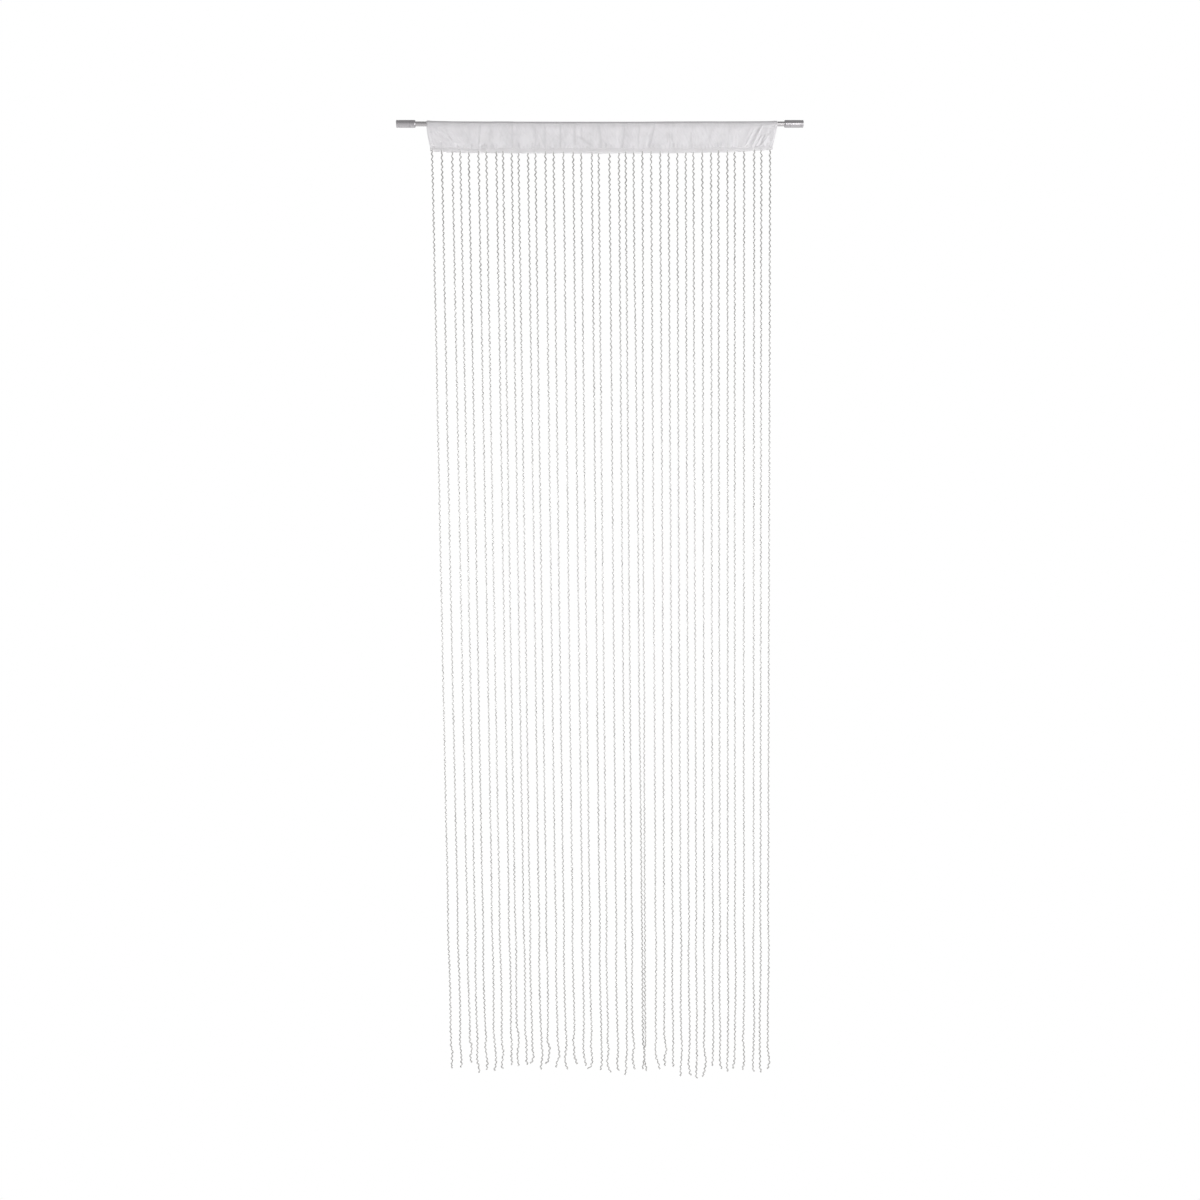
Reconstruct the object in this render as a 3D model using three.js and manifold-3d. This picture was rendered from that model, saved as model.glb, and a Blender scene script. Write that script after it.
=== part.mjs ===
// String curtain on its rod.
//
// A cloth header is folded over a plain metal tube and sewn shut below it.
// A narrow woven band runs along that seam, and forty crimped yarns hang from it.
//
// Units are millimetres. +Z is up, +X runs to the right along the rod, and the
// front of the curtain faces -Y. The origin is on the rod's axis, halfway along.

import * as THREE from 'three';
import { mergeVertices } from 'three/addons/utils/BufferGeometryUtils.js';
import Module from 'manifold-3d';

// Driving dimensions of the rod

const ROD_LENGTH = 1030;
const TUBE_DIAMETER = 12;
const TUBE_WALL = 1;
const CAP_LENGTH = 48;
const CAP_DIAMETER = 18.8;
const CAP_END_WALL = 6;
const CAP_EDGE = 0.8;
const FIT_GAP = 0.3;
const ROUND_SIDES = 26;

// Driving dimensions of the header, the folded cloth

const CLOTH = 1;
const WRAP_GAP = 0.5;
const LOOSE_WRAP = 1.2;
const LOOSE_WRAP_ENDS = -225;
const SEAM_PLY_GAP = 0.3;
const SEAM_HEIGHT = 5;
const BACK_SHARE = 0.6;
const WRAP_STEPS = 8;
const DROP_STEPS = [0.18, 0.38, 0.6, 0.82];

// Along the way down from the rod, as shares of it: a fold reaches its full push
// at opens, starts to flatten at closes, and keeps only held of it at the seam.

const FOLD_SPAN = { opens: 0.3, closes: 0.75, held: 0.55 };

// Driving dimensions of the band and its yarns

const BAND_THICKNESS = 2.4;
const YARN_COUNT = 40;
const YARN_FIRST = -428;
const YARN_LAST = 429;
const YARN_RADIUS = 2.2;
const YARN_SIDES = 3;
const YARN_ROOT = 5;
const YARN_SPANS = 15;
const YARN_SWAY = { reach: 0.9, wavesX: 4.1, wavesY: 3.3, settled: 0.2 };
const YARN_TRIM = 4;
const CURL_SCATTER = 2;
const CURL_LENGTH = 46;
const CURL_SPANS = 4;

// The fold lines of the header, from its left edge to its right edge. Each one
// starts at the rod (top) and ends at the seam (foot). Push is how far it stands
// back from the flat cloth, so a ridge has a negative push.

const FOLDS = [
  { top: -439, foot: -431, push: -0.6 },
  { top: -431, foot: -418, push: 0.9 },
  { top: -426, foot: -408, push: -1.2 },
  { top: -420, foot: -394, push: 1.5 },
  { top: -413, foot: -381, push: -1.2 },
  { top: -405, foot: -370, push: 1.7 },
  { top: -394, foot: -359, push: -0.8 },
  { top: -378, foot: -349, push: 1.1 },
  { top: -358, foot: -341, push: 0.4 },
  { top: -338, foot: -332, push: 1.5 },
  { top: -320, foot: -318, push: -1.2 },
  { top: -308, foot: -309, push: -0.8 },
  { top: -301, foot: -303, push: 1.8 },
  { top: -284, foot: -291, push: 0.9 },
  { top: -263, foot: -269, push: -0.6 },
  { top: -248, foot: -254, push: 0.7 },
  { top: -229, foot: -229, push: -1.0 },
  { top: -221, foot: -221, push: 1.9 },
  { top: -203, foot: -201, push: 0.0 },
  { top: -180, foot: -174, push: 1.0 },
  { top: -159, foot: -158, push: -0.4 },
  { top: -137, foot: -136, push: 1.4 },
  { top: -118, foot: -118, push: -0.6 },
  { top: -100, foot: -100, push: 1.2 },
  { top: -84, foot: -84, push: -0.8 },
  { top: -66, foot: -66, push: 1.6 },
  { top: -45, foot: -42, push: 0.9 },
  { top: -20, foot: -17, push: -0.6 },
  { top: 0, foot: 5, push: 1.6 },
  { top: 22, foot: 23, push: -0.4 },
  { top: 44, foot: 41, push: -1.0 },
  { top: 63, foot: 55, push: 1.9 },
  { top: 80, foot: 76, push: -0.4 },
  { top: 99, foot: 97, push: 1.0 },
  { top: 121, foot: 111, push: -0.8 },
  { top: 137, foot: 125, push: 1.9 },
  { top: 155, foot: 149, push: -0.3 },
  { top: 176, foot: 174, push: 0.8 },
  { top: 204, foot: 202, push: -0.2 },
  { top: 231, foot: 229, push: 0.6 },
  { top: 264, foot: 260, push: 0.0 },
  { top: 302, foot: 296, push: 0.4 },
  { top: 340, foot: 330, push: -0.8 },
  { top: 372, foot: 350, push: 1.5 },
  { top: 386, foot: 365, push: -1.3 },
  { top: 397, foot: 376, push: 1.6 },
  { top: 407, foot: 386, push: -1.3 },
  { top: 417, foot: 397, push: 1.5 },
  { top: 426, foot: 409, push: -1.1 },
  { top: 435, foot: 422, push: 1.2 },
  { top: 442, foot: 430, push: -0.4 },
  { top: 449, foot: 437, push: 0.3 },
];

// How far each fold line bows outwards on its way down, as a power of its height

const FOLD_BOW = { left: 1.7, right: 1.1 };

// The lower edge, which the rod's ends lift a little. The header is sewn shut
// at the seam, and the band reaches from just under it down to the hem.

const LOWER_EDGE = [
  { x: -431, seam: -57.0, hem: -66.8 },
  { x: -407, seam: -59.2, hem: -69.6 },
  { x: -350, seam: -61.0, hem: -71.1 },
  { x: -200, seam: -62.3, hem: -72.4 },
  { x: 0, seam: -63.0, hem: -73.4 },
  { x: 200, seam: -62.0, hem: -72.2 },
  { x: 320, seam: -60.5, hem: -70.6 },
  { x: 380, seam: -58.4, hem: -67.6 },
  { x: 437, seam: -56.6, hem: -64.2 },
];

// The yarns hang at an uneven pitch. Drift moves a yarn from its even place,
// pair moves odd yarns right and even yarns left, and end is the height at
// which its cut end hangs. The values run evenly from one row to the next.

const YARN_ROWS = [
  { yarn: 0, drift: 0.5, pair: 0.5, end: -2472 },
  { yarn: 2, drift: 5.0, pair: -1.5, end: -2464 },
  { yarn: 4, drift: 5.0, pair: 1.0, end: -2482 },
  { yarn: 7, drift: 6.0, pair: 1.5, end: -2470 },
  { yarn: 10, drift: -1.5, pair: 1.0, end: -2468 },
  { yarn: 13, drift: -2.5, pair: 2.0, end: -2478 },
  { yarn: 16, drift: 3.0, pair: -1.0, end: -2476 },
  { yarn: 19, drift: 5.5, pair: -3.0, end: -2495 },
  { yarn: 21, drift: 8.5, pair: 1.5, end: -2497 },
  { yarn: 23, drift: 3.0, pair: 0.0, end: -2491 },
  { yarn: 27, drift: 5.0, pair: -0.5, end: -2486 },
  { yarn: 28, drift: 4.5, pair: 0.0, end: -2507 },
  { yarn: 30, drift: 3.0, pair: 1.0, end: -2521 },
  { yarn: 32, drift: 2.0, pair: -1.0, end: -2488 },
  { yarn: 35, drift: -1.5, pair: -1.0, end: -2498 },
  { yarn: 37, drift: 1.5, pair: 2.0, end: -2507 },
  { yarn: 39, drift: 0.0, pair: 0.0, end: -2500 },
];

// Two neighbouring yarns cling together lower down. Lean is how far the left
// one has moved right, and the right one left, at each height.

const CLING = { left: 23, right: 24, apart: 2.6 };
const CLING_ROWS = [
  { z: -2490, lean: 17.0 },
  { z: -2440, lean: 12.6 },
  { z: -2300, lean: 11.4 },
  { z: -2030, lean: 7.0 },
  { z: -1640, lean: 5.0 },
  { z: -840, lean: 3.0 },
  { z: -80, lean: 0.0 },
];

// The cut ends that curl aside the most, and how far to the right they end up

const CURLED_ENDS = [
  { yarn: 3, curl: 5 },
  { yarn: 5, curl: -4 },
  { yarn: 6, curl: -5 },
  { yarn: 10, curl: -10 },
  { yarn: 12, curl: -13 },
  { yarn: 13, curl: -10 },
  { yarn: 14, curl: 5 },
  { yarn: 15, curl: 9 },
  { yarn: 16, curl: 5 },
  { yarn: 17, curl: -11 },
  { yarn: 18, curl: -7 },
  { yarn: 19, curl: 10 },
  { yarn: 21, curl: -5 },
  { yarn: 22, curl: 6 },
  { yarn: 25, curl: 11 },
  { yarn: 26, curl: -6 },
  { yarn: 31, curl: -10 },
  { yarn: 33, curl: 6 },
  { yarn: 35, curl: -7 },
  { yarn: 36, curl: -6 },
  { yarn: 39, curl: -8 },
];

// Small helpers

const lerp = THREE.MathUtils.lerp;
const clamp = THREE.MathUtils.clamp;
const smooth = THREE.MathUtils.smoothstep;

// Reads one column of a table at a place, running evenly between its rows
function readTable(rows, key, place, column) {
  const next = rows.findIndex((row) => row[key] >= place);
  if (next === -1) return rows[rows.length - 1][column];
  if (next === 0) return rows[0][column];
  const before = rows[next - 1];
  const after = rows[next];
  const share = (place - before[key]) / (after[key] - before[key]);
  return lerp(before[column], after[column], share);
}

// A repeatable number from -1 to 1 for each yarn and each use of it
const USES = { swayX: 1, swayY: 2, curl: 3, trim: 4, turn: 5 };

function scatter(index, use) {
  const wave = Math.sin(index * 127.1 + USES[use] * 311.7) * 43758.5453;
  return 2 * (wave - Math.floor(wave)) - 1;
}

// Closed meshes from rings of points

// Adds the skin between neighbouring rings, which all have the same number of
// points. Its faces look away from the rings' inside, or into it when turned.
function addSkin(mesh, rings, turned = false) {
  const start = mesh.points.length;
  const count = rings[0].length;
  mesh.points.push(...rings.flat());
  for (let r = 0; r < rings.length - 1; r += 1) {
    for (let i = 0; i < count; i += 1) {
      const a = start + r * count + i;
      const b = start + r * count + (i + 1) % count;
      const faces = [[a, b, a + count], [b, b + count, a + count]];
      mesh.faces.push(...(turned ? faces.map((face) => face.reverse()) : faces));
    }
  }
}

// Closes one end of a solid ring with a fan of triangles
function addEnd(mesh, ring, turned = false) {
  const start = mesh.points.length;
  mesh.points.push(...ring);
  for (let i = 1; i < ring.length - 1; i += 1) {
    const face = [start, start + i, start + i + 1];
    mesh.faces.push(turned ? face : face.reverse());
  }
}

const SAME_POINT = 1e-4;

function toGeometry({ points, faces }) {
  const geometry = new THREE.BufferGeometry();
  geometry.setAttribute('position', new THREE.Float32BufferAttribute(points.flat(), 3));
  geometry.setIndex(faces.flat());
  return mergeVertices(geometry, SAME_POINT);
}

function solidFromRings(rings) {
  const mesh = { points: [], faces: [] };
  addSkin(mesh, rings);
  addEnd(mesh, rings[0]);
  addEnd(mesh, rings[rings.length - 1], true);
  return toGeometry(mesh);
}

// Joining solids

const wasm = await Module();
wasm.setup();

function toManifold(geometry) {
  const vertProperties = new Float32Array(geometry.attributes.position.array);
  const triVerts = new Uint32Array(geometry.index.array);
  return new wasm.Manifold(new wasm.Mesh({ numProp: 3, vertProperties, triVerts }));
}

function fromManifold(solid) {
  const { vertProperties, triVerts } = solid.getMesh();
  const geometry = new THREE.BufferGeometry();
  geometry.setAttribute('position', new THREE.BufferAttribute(vertProperties, 3));
  geometry.setIndex(new THREE.BufferAttribute(triVerts, 1));
  return geometry;
}

// Materials

const rodMetal = new THREE.MeshStandardMaterial({ color: 0xb9b6b8, roughness: 0.32, metalness: 1 });
const capMetal = new THREE.MeshStandardMaterial({ color: 0xa9a5aa, roughness: 0.36, metalness: 1 });
const headerCloth = new THREE.MeshStandardMaterial({ color: 0xdedce0, roughness: 0.9, metalness: 0 });
const yarnWhite = new THREE.MeshStandardMaterial({ color: 0xdcdbda, roughness: 0.95, metalness: 0 });

const curtain = new THREE.Group();

function place(name, geometry, material) {
  const mesh = new THREE.Mesh(geometry, material);
  mesh.name = name;
  curtain.add(mesh);
  return mesh;
}

// The rod's tube, with an open end inside each cap

function turned(profile) {
  return new THREE.LatheGeometry(profile.map(([r, along]) => new THREE.Vector2(r, along)), ROUND_SIDES);
}

function tubeGeometry() {
  const outer = TUBE_DIAMETER / 2;
  const inner = outer - TUBE_WALL;
  const half = ROD_LENGTH / 2 - CAP_END_WALL - FIT_GAP;
  return turned([[outer, -half], [outer, half], [inner, half], [inner, -half], [outer, -half]]);
}

place('rod', tubeGeometry(), rodMetal).rotation.z = -Math.PI / 2;

// The end caps. Each is a cup pushed over the tube, turned with a wide groove
// near its flat end, a fine one further in, and a slight rim at its mouth.

const CAP_GROOVES = [
  { from: 4.4, to: 6.8, depth: 0.5, slope: 0.4 },
  { from: 32.6, to: 33.6, depth: 0.35, slope: 0.2 },
];
const CAP_RIM = { length: 1.6, height: 0.25, slope: 0.4 };

function capProfile() {
  const radius = CAP_DIAMETER / 2;
  const bore = TUBE_DIAMETER / 2 + FIT_GAP;
  const rim = CAP_LENGTH - CAP_RIM.length;
  const profile = [[0, 0], [radius - CAP_EDGE, 0], [radius, CAP_EDGE]];
  for (const groove of CAP_GROOVES) {
    profile.push([radius, groove.from], [radius - groove.depth, groove.from + groove.slope]);
    profile.push([radius - groove.depth, groove.to - groove.slope], [radius, groove.to]);
  }
  profile.push([radius, rim], [radius + CAP_RIM.height, rim + CAP_RIM.slope]);
  profile.push([radius + CAP_RIM.height, CAP_LENGTH]);
  profile.push([bore, CAP_LENGTH], [bore, CAP_END_WALL], [0, CAP_END_WALL]);
  return profile;
}

for (const [name, side] of [['left_cap', -1], ['right_cap', 1]]) {
  const cap = place(name, turned(capProfile()), capMetal);
  cap.position.x = side * ROD_LENGTH / 2;
  cap.rotation.z = side * Math.PI / 2;
}

// The header: one cloth over the tube, its two plies falling to the seam

const seamAt = (x) => readTable(LOWER_EDGE, 'x', x, 'seam');
const hemAt = (x) => readTable(LOWER_EDGE, 'x', x, 'hem');
const wrapRadius = (inset) => TUBE_DIAMETER / 2 + WRAP_GAP + CLOTH - inset;

// How much of a fold's push shows at a share of the way from the rod to the seam
function foldDepth(share) {
  const flattened = (1 - FOLD_SPAN.held) * smooth(share, FOLD_SPAN.closes, 1);
  return smooth(share, 0, FOLD_SPAN.opens) * (1 - flattened);
}

function foldX(fold, share) {
  const bow = fold.top < 0 ? FOLD_BOW.left : FOLD_BOW.right;
  return lerp(fold.top, fold.foot, share ** bow);
}

// One ring around the cloth along a fold line: up the back, over the tube and
// down the front. Inset 0 gives its outer face and CLOTH its inner face.
function headerRing(fold, inset) {
  const radius = wrapRadius(inset);
  const seam = seamAt(fold.foot) + (inset ? SEAM_HEIGHT : 0);
  const seamHalf = inset ? SEAM_PLY_GAP / 2 : CLOTH;
  const lift = fold.top < LOOSE_WRAP_ENDS ? LOOSE_WRAP : 0;
  const lean = Math.atan2(radius - seamHalf, -seam);
  const ply = (side) => [...DROP_STEPS, 1].map((share) => {
    const push = fold.push * foldDepth(share) * (side < 0 ? 1 : BACK_SHARE);
    const start = -radius * Math.sin(lean);
    const y = side * lerp(radius * Math.cos(lean), seamHalf, share) + push;
    return [foldX(fold, share), y, lerp(start, seam, share)];
  });
  const wrap = [];
  for (let step = 0; step <= WRAP_STEPS; step += 1) {
    const angle = lerp(-lean, Math.PI + lean, step / WRAP_STEPS);
    const rise = Math.max(0, Math.sin(angle));
    wrap.push([fold.top, radius * Math.cos(angle), radius * Math.sin(angle) + lift * rise]);
  }
  return [...ply(1).reverse(), ...wrap, ...ply(-1)];
}

// The cut side edge between the outer and the inner face of the cloth
function addSideEdge(mesh, outer, inner, atRight) {
  const start = mesh.points.length;
  const count = outer.length;
  mesh.points.push(...outer, ...inner);
  for (let i = 0; i < count; i += 1) {
    const a = start + i;
    const b = start + (i + 1) % count;
    const faces = [[a, a + count, b], [b, a + count, b + count]];
    mesh.faces.push(...(atRight ? faces.map((face) => face.reverse()) : faces));
  }
}

function headerGeometry() {
  const mesh = { points: [], faces: [] };
  const outer = FOLDS.map((fold) => headerRing(fold, 0));
  const inner = FOLDS.map((fold) => headerRing(fold, CLOTH));
  addSkin(mesh, outer);
  addSkin(mesh, inner, true);
  addSideEdge(mesh, outer[0], inner[0], false);
  addSideEdge(mesh, outer[outer.length - 1], inner[inner.length - 1], true);
  return toGeometry(mesh);
}

place('header', headerGeometry(), headerCloth);

// The band under the seam, which follows the header's folds

const foldFeet = FOLDS.map(({ foot, push }) => {
  const y = push * foldDepth(1) * (1 + BACK_SHARE) / 2;
  return { foot, y };
});
const bandY = (x) => readTable(foldFeet, 'foot', x, 'y');

function bandRing(x) {
  const y = bandY(x);
  const half = BAND_THICKNESS / 2;
  const top = seamAt(x) - FIT_GAP;
  const hem = hemAt(x);
  return [[x, y + half, hem], [x, y + half, top], [x, y - half, top], [x, y - half, hem]];
}

function bandGeometry() {
  return solidFromRings(FOLDS.map((fold) => bandRing(fold.foot)));
}

// The yarns

function yarnX(index) {
  const even = lerp(YARN_FIRST, YARN_LAST, index / (YARN_COUNT - 1));
  const sign = index % 2 ? 1 : -1;
  const drift = readTable(YARN_ROWS, 'yarn', index, 'drift');
  return even + drift + sign * readTable(YARN_ROWS, 'yarn', index, 'pair');
}

function clingLean(index, z) {
  if (index === CLING.left) return readTable(CLING_ROWS, 'z', z, 'lean');
  if (index === CLING.right) return -readTable(CLING_ROWS, 'z', z, 'lean');
  return 0;
}

function endCurl(index) {
  const row = CURLED_ENDS.find(({ yarn }) => yarn === index);
  return row ? row.curl : CURL_SCATTER * scatter(index, 'curl');
}

// The middle of a yarn at a height: it hangs plumb from the band, sways a
// little more the lower it is, and curls to one side over its last stretch.
function yarnPoint(index, z, end) {
  const root = yarnX(index);
  const drop = clamp((hemAt(root) - z) / (hemAt(root) - end), 0, 1);
  const phaseX = Math.PI * scatter(index, 'swayX');
  const phaseY = Math.PI * scatter(index, 'swayY');
  const swayX = YARN_SWAY.reach * drop * Math.sin(YARN_SWAY.wavesX * drop + phaseX);
  const swayY = YARN_SWAY.reach * drop * Math.sin(YARN_SWAY.wavesY * drop + phaseY);
  const curl = endCurl(index) * clamp((end + CURL_LENGTH - z) / CURL_LENGTH, 0, 1) ** 2;
  const lean = clingLean(index, z);
  const aside = clamp(lean, -CLING.apart, CLING.apart);
  const x = root + (lean ? lean : swayX + curl);
  const y = bandY(root) * (1 - smooth(drop, 0, YARN_SWAY.settled)) + (lean ? aside : swayY);
  return new THREE.Vector3(x, y, z);
}

function yarnGeometry(index) {
  const root = yarnX(index);
  const end = readTable(YARN_ROWS, 'yarn', index, 'end') + YARN_TRIM * scatter(index, 'trim');
  const top = hemAt(root) + YARN_ROOT;
  const heights = [];
  for (let span = 0; span < YARN_SPANS; span += 1) {
    heights.push(lerp(top, end + CURL_LENGTH, span / YARN_SPANS));
  }
  for (let span = 0; span <= CURL_SPANS; span += 1) {
    heights.push(lerp(end + CURL_LENGTH, end, span / CURL_SPANS));
  }
  const turn = Math.PI * scatter(index, 'turn');
  const rings = heights.map((z) => {
    const centre = yarnPoint(index, z, end);
    return Array.from({ length: YARN_SIDES }, (_, side) => {
      const angle = turn - 2 * Math.PI * side / YARN_SIDES;
      return [centre.x + YARN_RADIUS * Math.cos(angle), centre.y + YARN_RADIUS * Math.sin(angle), z];
    });
  });
  return solidFromRings(rings);
}

function stringBandGeometry() {
  let joined = toManifold(bandGeometry());
  for (let index = 0; index < YARN_COUNT; index += 1) {
    joined = joined.add(toManifold(yarnGeometry(index)));
  }
  return fromManifold(joined);
}

place('string_band', stringBandGeometry(), yarnWhite);

export default curtain;
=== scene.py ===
"""A string curtain on its rod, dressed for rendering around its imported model.

A cloth header is folded over a metal tube and sewn shut below it. A woven band
runs along that seam, and forty crimped yarns hang from it. The tables hold
millimetres, as a maker would measure them, and MM turns them into metres. +Z is
up, +X runs to the right along the rod, and the front faces -Y.
"""

import math

import bmesh
import bpy
import numpy as np
from mathutils import Matrix, Vector, noise


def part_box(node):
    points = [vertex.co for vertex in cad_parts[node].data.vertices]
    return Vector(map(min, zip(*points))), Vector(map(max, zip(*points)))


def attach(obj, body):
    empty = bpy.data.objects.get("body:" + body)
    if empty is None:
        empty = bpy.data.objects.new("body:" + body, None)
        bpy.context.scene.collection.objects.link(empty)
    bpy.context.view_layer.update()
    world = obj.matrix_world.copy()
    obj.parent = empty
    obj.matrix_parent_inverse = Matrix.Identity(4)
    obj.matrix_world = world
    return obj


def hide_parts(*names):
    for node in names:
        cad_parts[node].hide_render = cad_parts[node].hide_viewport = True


bl_info = {
    "name": "String curtain",
    "version": (1, 0, 0),
    "blender": (4, 5, 0),
    "location": "View3D > Sidebar > String curtain",
    "description": "Builds a string curtain with a cloth header on a metal rod",
    "category": "Object",
}

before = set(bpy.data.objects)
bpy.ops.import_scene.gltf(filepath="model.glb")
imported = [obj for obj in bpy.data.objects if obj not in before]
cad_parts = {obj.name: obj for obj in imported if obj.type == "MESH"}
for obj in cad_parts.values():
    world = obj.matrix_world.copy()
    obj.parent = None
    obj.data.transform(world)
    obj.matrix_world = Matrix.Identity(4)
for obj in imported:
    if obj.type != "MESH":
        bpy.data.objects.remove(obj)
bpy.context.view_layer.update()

MM = 0.001
BODY = "root"

# The fold lines of the header, from left to right. Each row gives where a line
# starts at the rod, where it ends at the seam, and how far it stands back from
# the flat cloth, so that a ridge is negative.

FOLDS = (
    (-439, -431, -0.6), (-431, -418, 0.6), (-426, -408, -0.5), (-420, -394, 0.7),
    (-413, -381, -0.4), (-405, -370, 0.7), (-394, -359, -0.2), (-378, -349, 0.9),
    (-358, -341, 0.4), (-338, -332, 1.5), (-320, -318, -1.2), (-308, -309, -0.8),
    (-301, -303, 1.8), (-284, -291, 0.9), (-263, -269, -0.6), (-248, -254, 0.7),
    (-229, -229, -1.0), (-221, -221, 1.9), (-203, -201, 0.0), (-180, -174, 1.0),
    (-159, -158, -0.4), (-137, -136, 1.4), (-118, -118, -0.6), (-100, -100, 1.2),
    (-84, -84, -0.8), (-66, -66, 1.6), (-45, -42, 0.9), (-20, -17, -0.6),
    (0, 5, 1.6), (22, 23, -0.4), (44, 41, -1.0), (63, 55, 1.9),
    (80, 76, -0.4), (99, 97, 1.0), (121, 111, -0.8), (137, 125, 1.9),
    (155, 149, -0.3), (176, 174, 0.8), (204, 202, -0.2), (231, 229, 0.6),
    (264, 260, 0.0), (302, 296, 0.4), (340, 330, -0.8), (372, 350, 1.1),
    (386, 365, -0.4), (397, 376, 0.7), (407, 386, -0.4), (417, 397, 0.6),
    (426, 409, -0.4), (435, 422, 0.6), (442, 430, -0.4), (449, 437, 0.3),
)
FOLD_FOOT, FOLD_PUSH = 1, 2
HEADER_LEFT, HEADER_RIGHT = FOLDS[0][0], FOLDS[-1][0]

# The creases pressed into the front of the header, besides its folds. Each row
# gives the place and height of its upper and lower end, how far it stands out,
# which is negative for a trough, and how wide its left and right flanks are.

CREASES = (
    (-424, -9, -407, -23, 0.5, 2.8, 4), (-426, -19, -403, -44, 0.6, 3, 4),
    (-403, -17, -389, -37, 0.8, 2.6, 3.6), (-391, -15, -369, -50, 1.3, 2.7, 4.2),
    (-375, -24, -359, -52, 0.9, 2.6, 3.8), (-358, -30, -352, -52, 0.6, 2.6, 3.6),
    (-331, -5, -329, -36, 1, 3, 4), (-329, -16, -309, -47, 0.7, 5, 2.5),
    (-304, -5, -309, -50, -1.7, 4, 1.6), (-292, -10, -301, -50, 0.5, 4, 2.2),
    (-279, -14, -282, -48, -0.4, 4, 2), (-269, -10, -271, -34, 0.6, 3, 2),
    (-261, -28, -260, -46, 0.6, 3, 2), (-251, -16, -256.5, -48, -0.4, 4, 2),
    (-224, -2, -224, -66, -1.4, 2.6, 1.4), (-187, -4, -171, -46, 0.7, 5, 2.2),
    (-166, -6, -166, -53, -0.5, 4, 1.5), (-141, -6, -142, -53, -0.7, 5, 1.6),
    (-102, -4, -103, -62, -1, 4, 1.5), (-66, -4, -66, -50, -1.1, 6, 1.6),
    (-58, -30, -30, -50, -0.8, 4, 3), (-49, -8, -49, -38, -0.8, 4, 1.5),
    (-4, -5, 1, -60, -1, 6, 1.6), (39, -8, 39, -53, 0.6, 3, 3), (60, -4, 54, -58, -1.1, 6, 1.3),
    (97, -6, 94, -53, -0.7, 4, 1.6), (136, -4, 123, -58, -1.4, 7, 1.3),
    (167, -26, 168, -46, -0.7, 2.2, 1.5), (173, -24, 174, -46, -0.7, 2.2, 1.5),
    (179, -26, 181, -45, -0.6, 2.2, 1.5), (187, -12, 188, -50, 0.6, 5, 3),
    (228, -20, 228, -60, -0.6, 4, 1.8), (281, -10, 276, -50, -0.5, 6, 2.5),
    (334, -5, 335, -58, 0.6, 2.2, 2), (345, -5, 345, -58, 0.5, 2.2, 2),
    (380, -14, 360, -52, 0.9, 11, 4), (387, -17, 368, -54, 1.5, 2.8, 2),
    (401, -9, 377, -51, -0.5, 3, 2.2), (409, -5, 385, -54, 1.5, 2.6, 2.2),
    (409, -29, 396, -53, 1.2, 2.2, 1.8), (416, -27, 403, -54, -1.3, 2.2, 1.8),
    (426, -27, 412, -50, 1.4, 2.2, 1.8), (431, -9, 429, -26, -0.8, 3, 1.8),
    (442, 1, 408, -8, 1.2, 4.5, 3),
)

# Puckers that the seam draws into the cloth above it: those that stand out,
# then the rest at a seeded pitch. The fields are those of a crease.

STRONG_PUCKERS = (
    (-300.5, -50, -300.5, -68, -0.9, 2, 1.3), (-290.6, -52, -290.6, -68, -0.9, 2, 1.3),
    (-279, -51, -279, -68, -0.9, 2, 1.3), (-271, -52, -271, -68, -0.9, 2, 1.3),
)
PUCKER_PITCH, PUCKER_FIRST, PUCKER_SHIFT, PUCKER_LEAN = 8.5, 6, 3.5, 3.0
PUCKER_TALL, PUCKER_LIFT, PUCKER_FLANKS = (9.0, 5.0), (-0.6, 0.35), (2.4, 1.5)
PUCKER_ABOVE, PUCKER_BELOW = 2.5, 1.0

# The lower edge: the seam's height and the band's hem at each place

LOWER_EDGE = (
    (-431, -57, -66.8), (-407, -59.2, -69.6), (-350, -61, -71.1), (-200, -62.3, -72.4),
    (0, -63, -73.4), (200, -62, -72.2), (320, -60.5, -70.6), (380, -58.4, -67.6),
    (437, -56.6, -64.2),
)
EDGE_SEAM, EDGE_HEM = 1, 2

# The yarns: how far a yarn has drifted from its even place, and how far odd
# yarns have moved right and even ones left

YARN_COUNT = 40
YARN_SPAN = (-426.7, 430.3)
YARN_ROWS = (
    (0, 0.5, 0.5), (2, 5.0, -1.5), (4, 5.0, 1.0), (7, 6.0, 1.5), (10, -1.5, 1.0),
    (13, -2.5, 2.0), (16, 3.0, -1.0), (19, 5.5, -3.0), (21, 8.5, 1.5), (23, 3.0, 0.0),
    (27, 5.0, -0.5), (28, 4.5, 0.0), (30, 3.0, 1.0), (32, 2.0, -1.0), (35, -1.5, -1.0),
    (37, 1.5, 2.0), (39, 0.0, 0.0),
)
YARN_DRIFT, YARN_PAIR = 1, 2

# The cut ends from left to right. Each row gives an end's height, and how far its
# yarn strays to the right at each distance above the end that KINKS_ABOVE lists.

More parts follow.
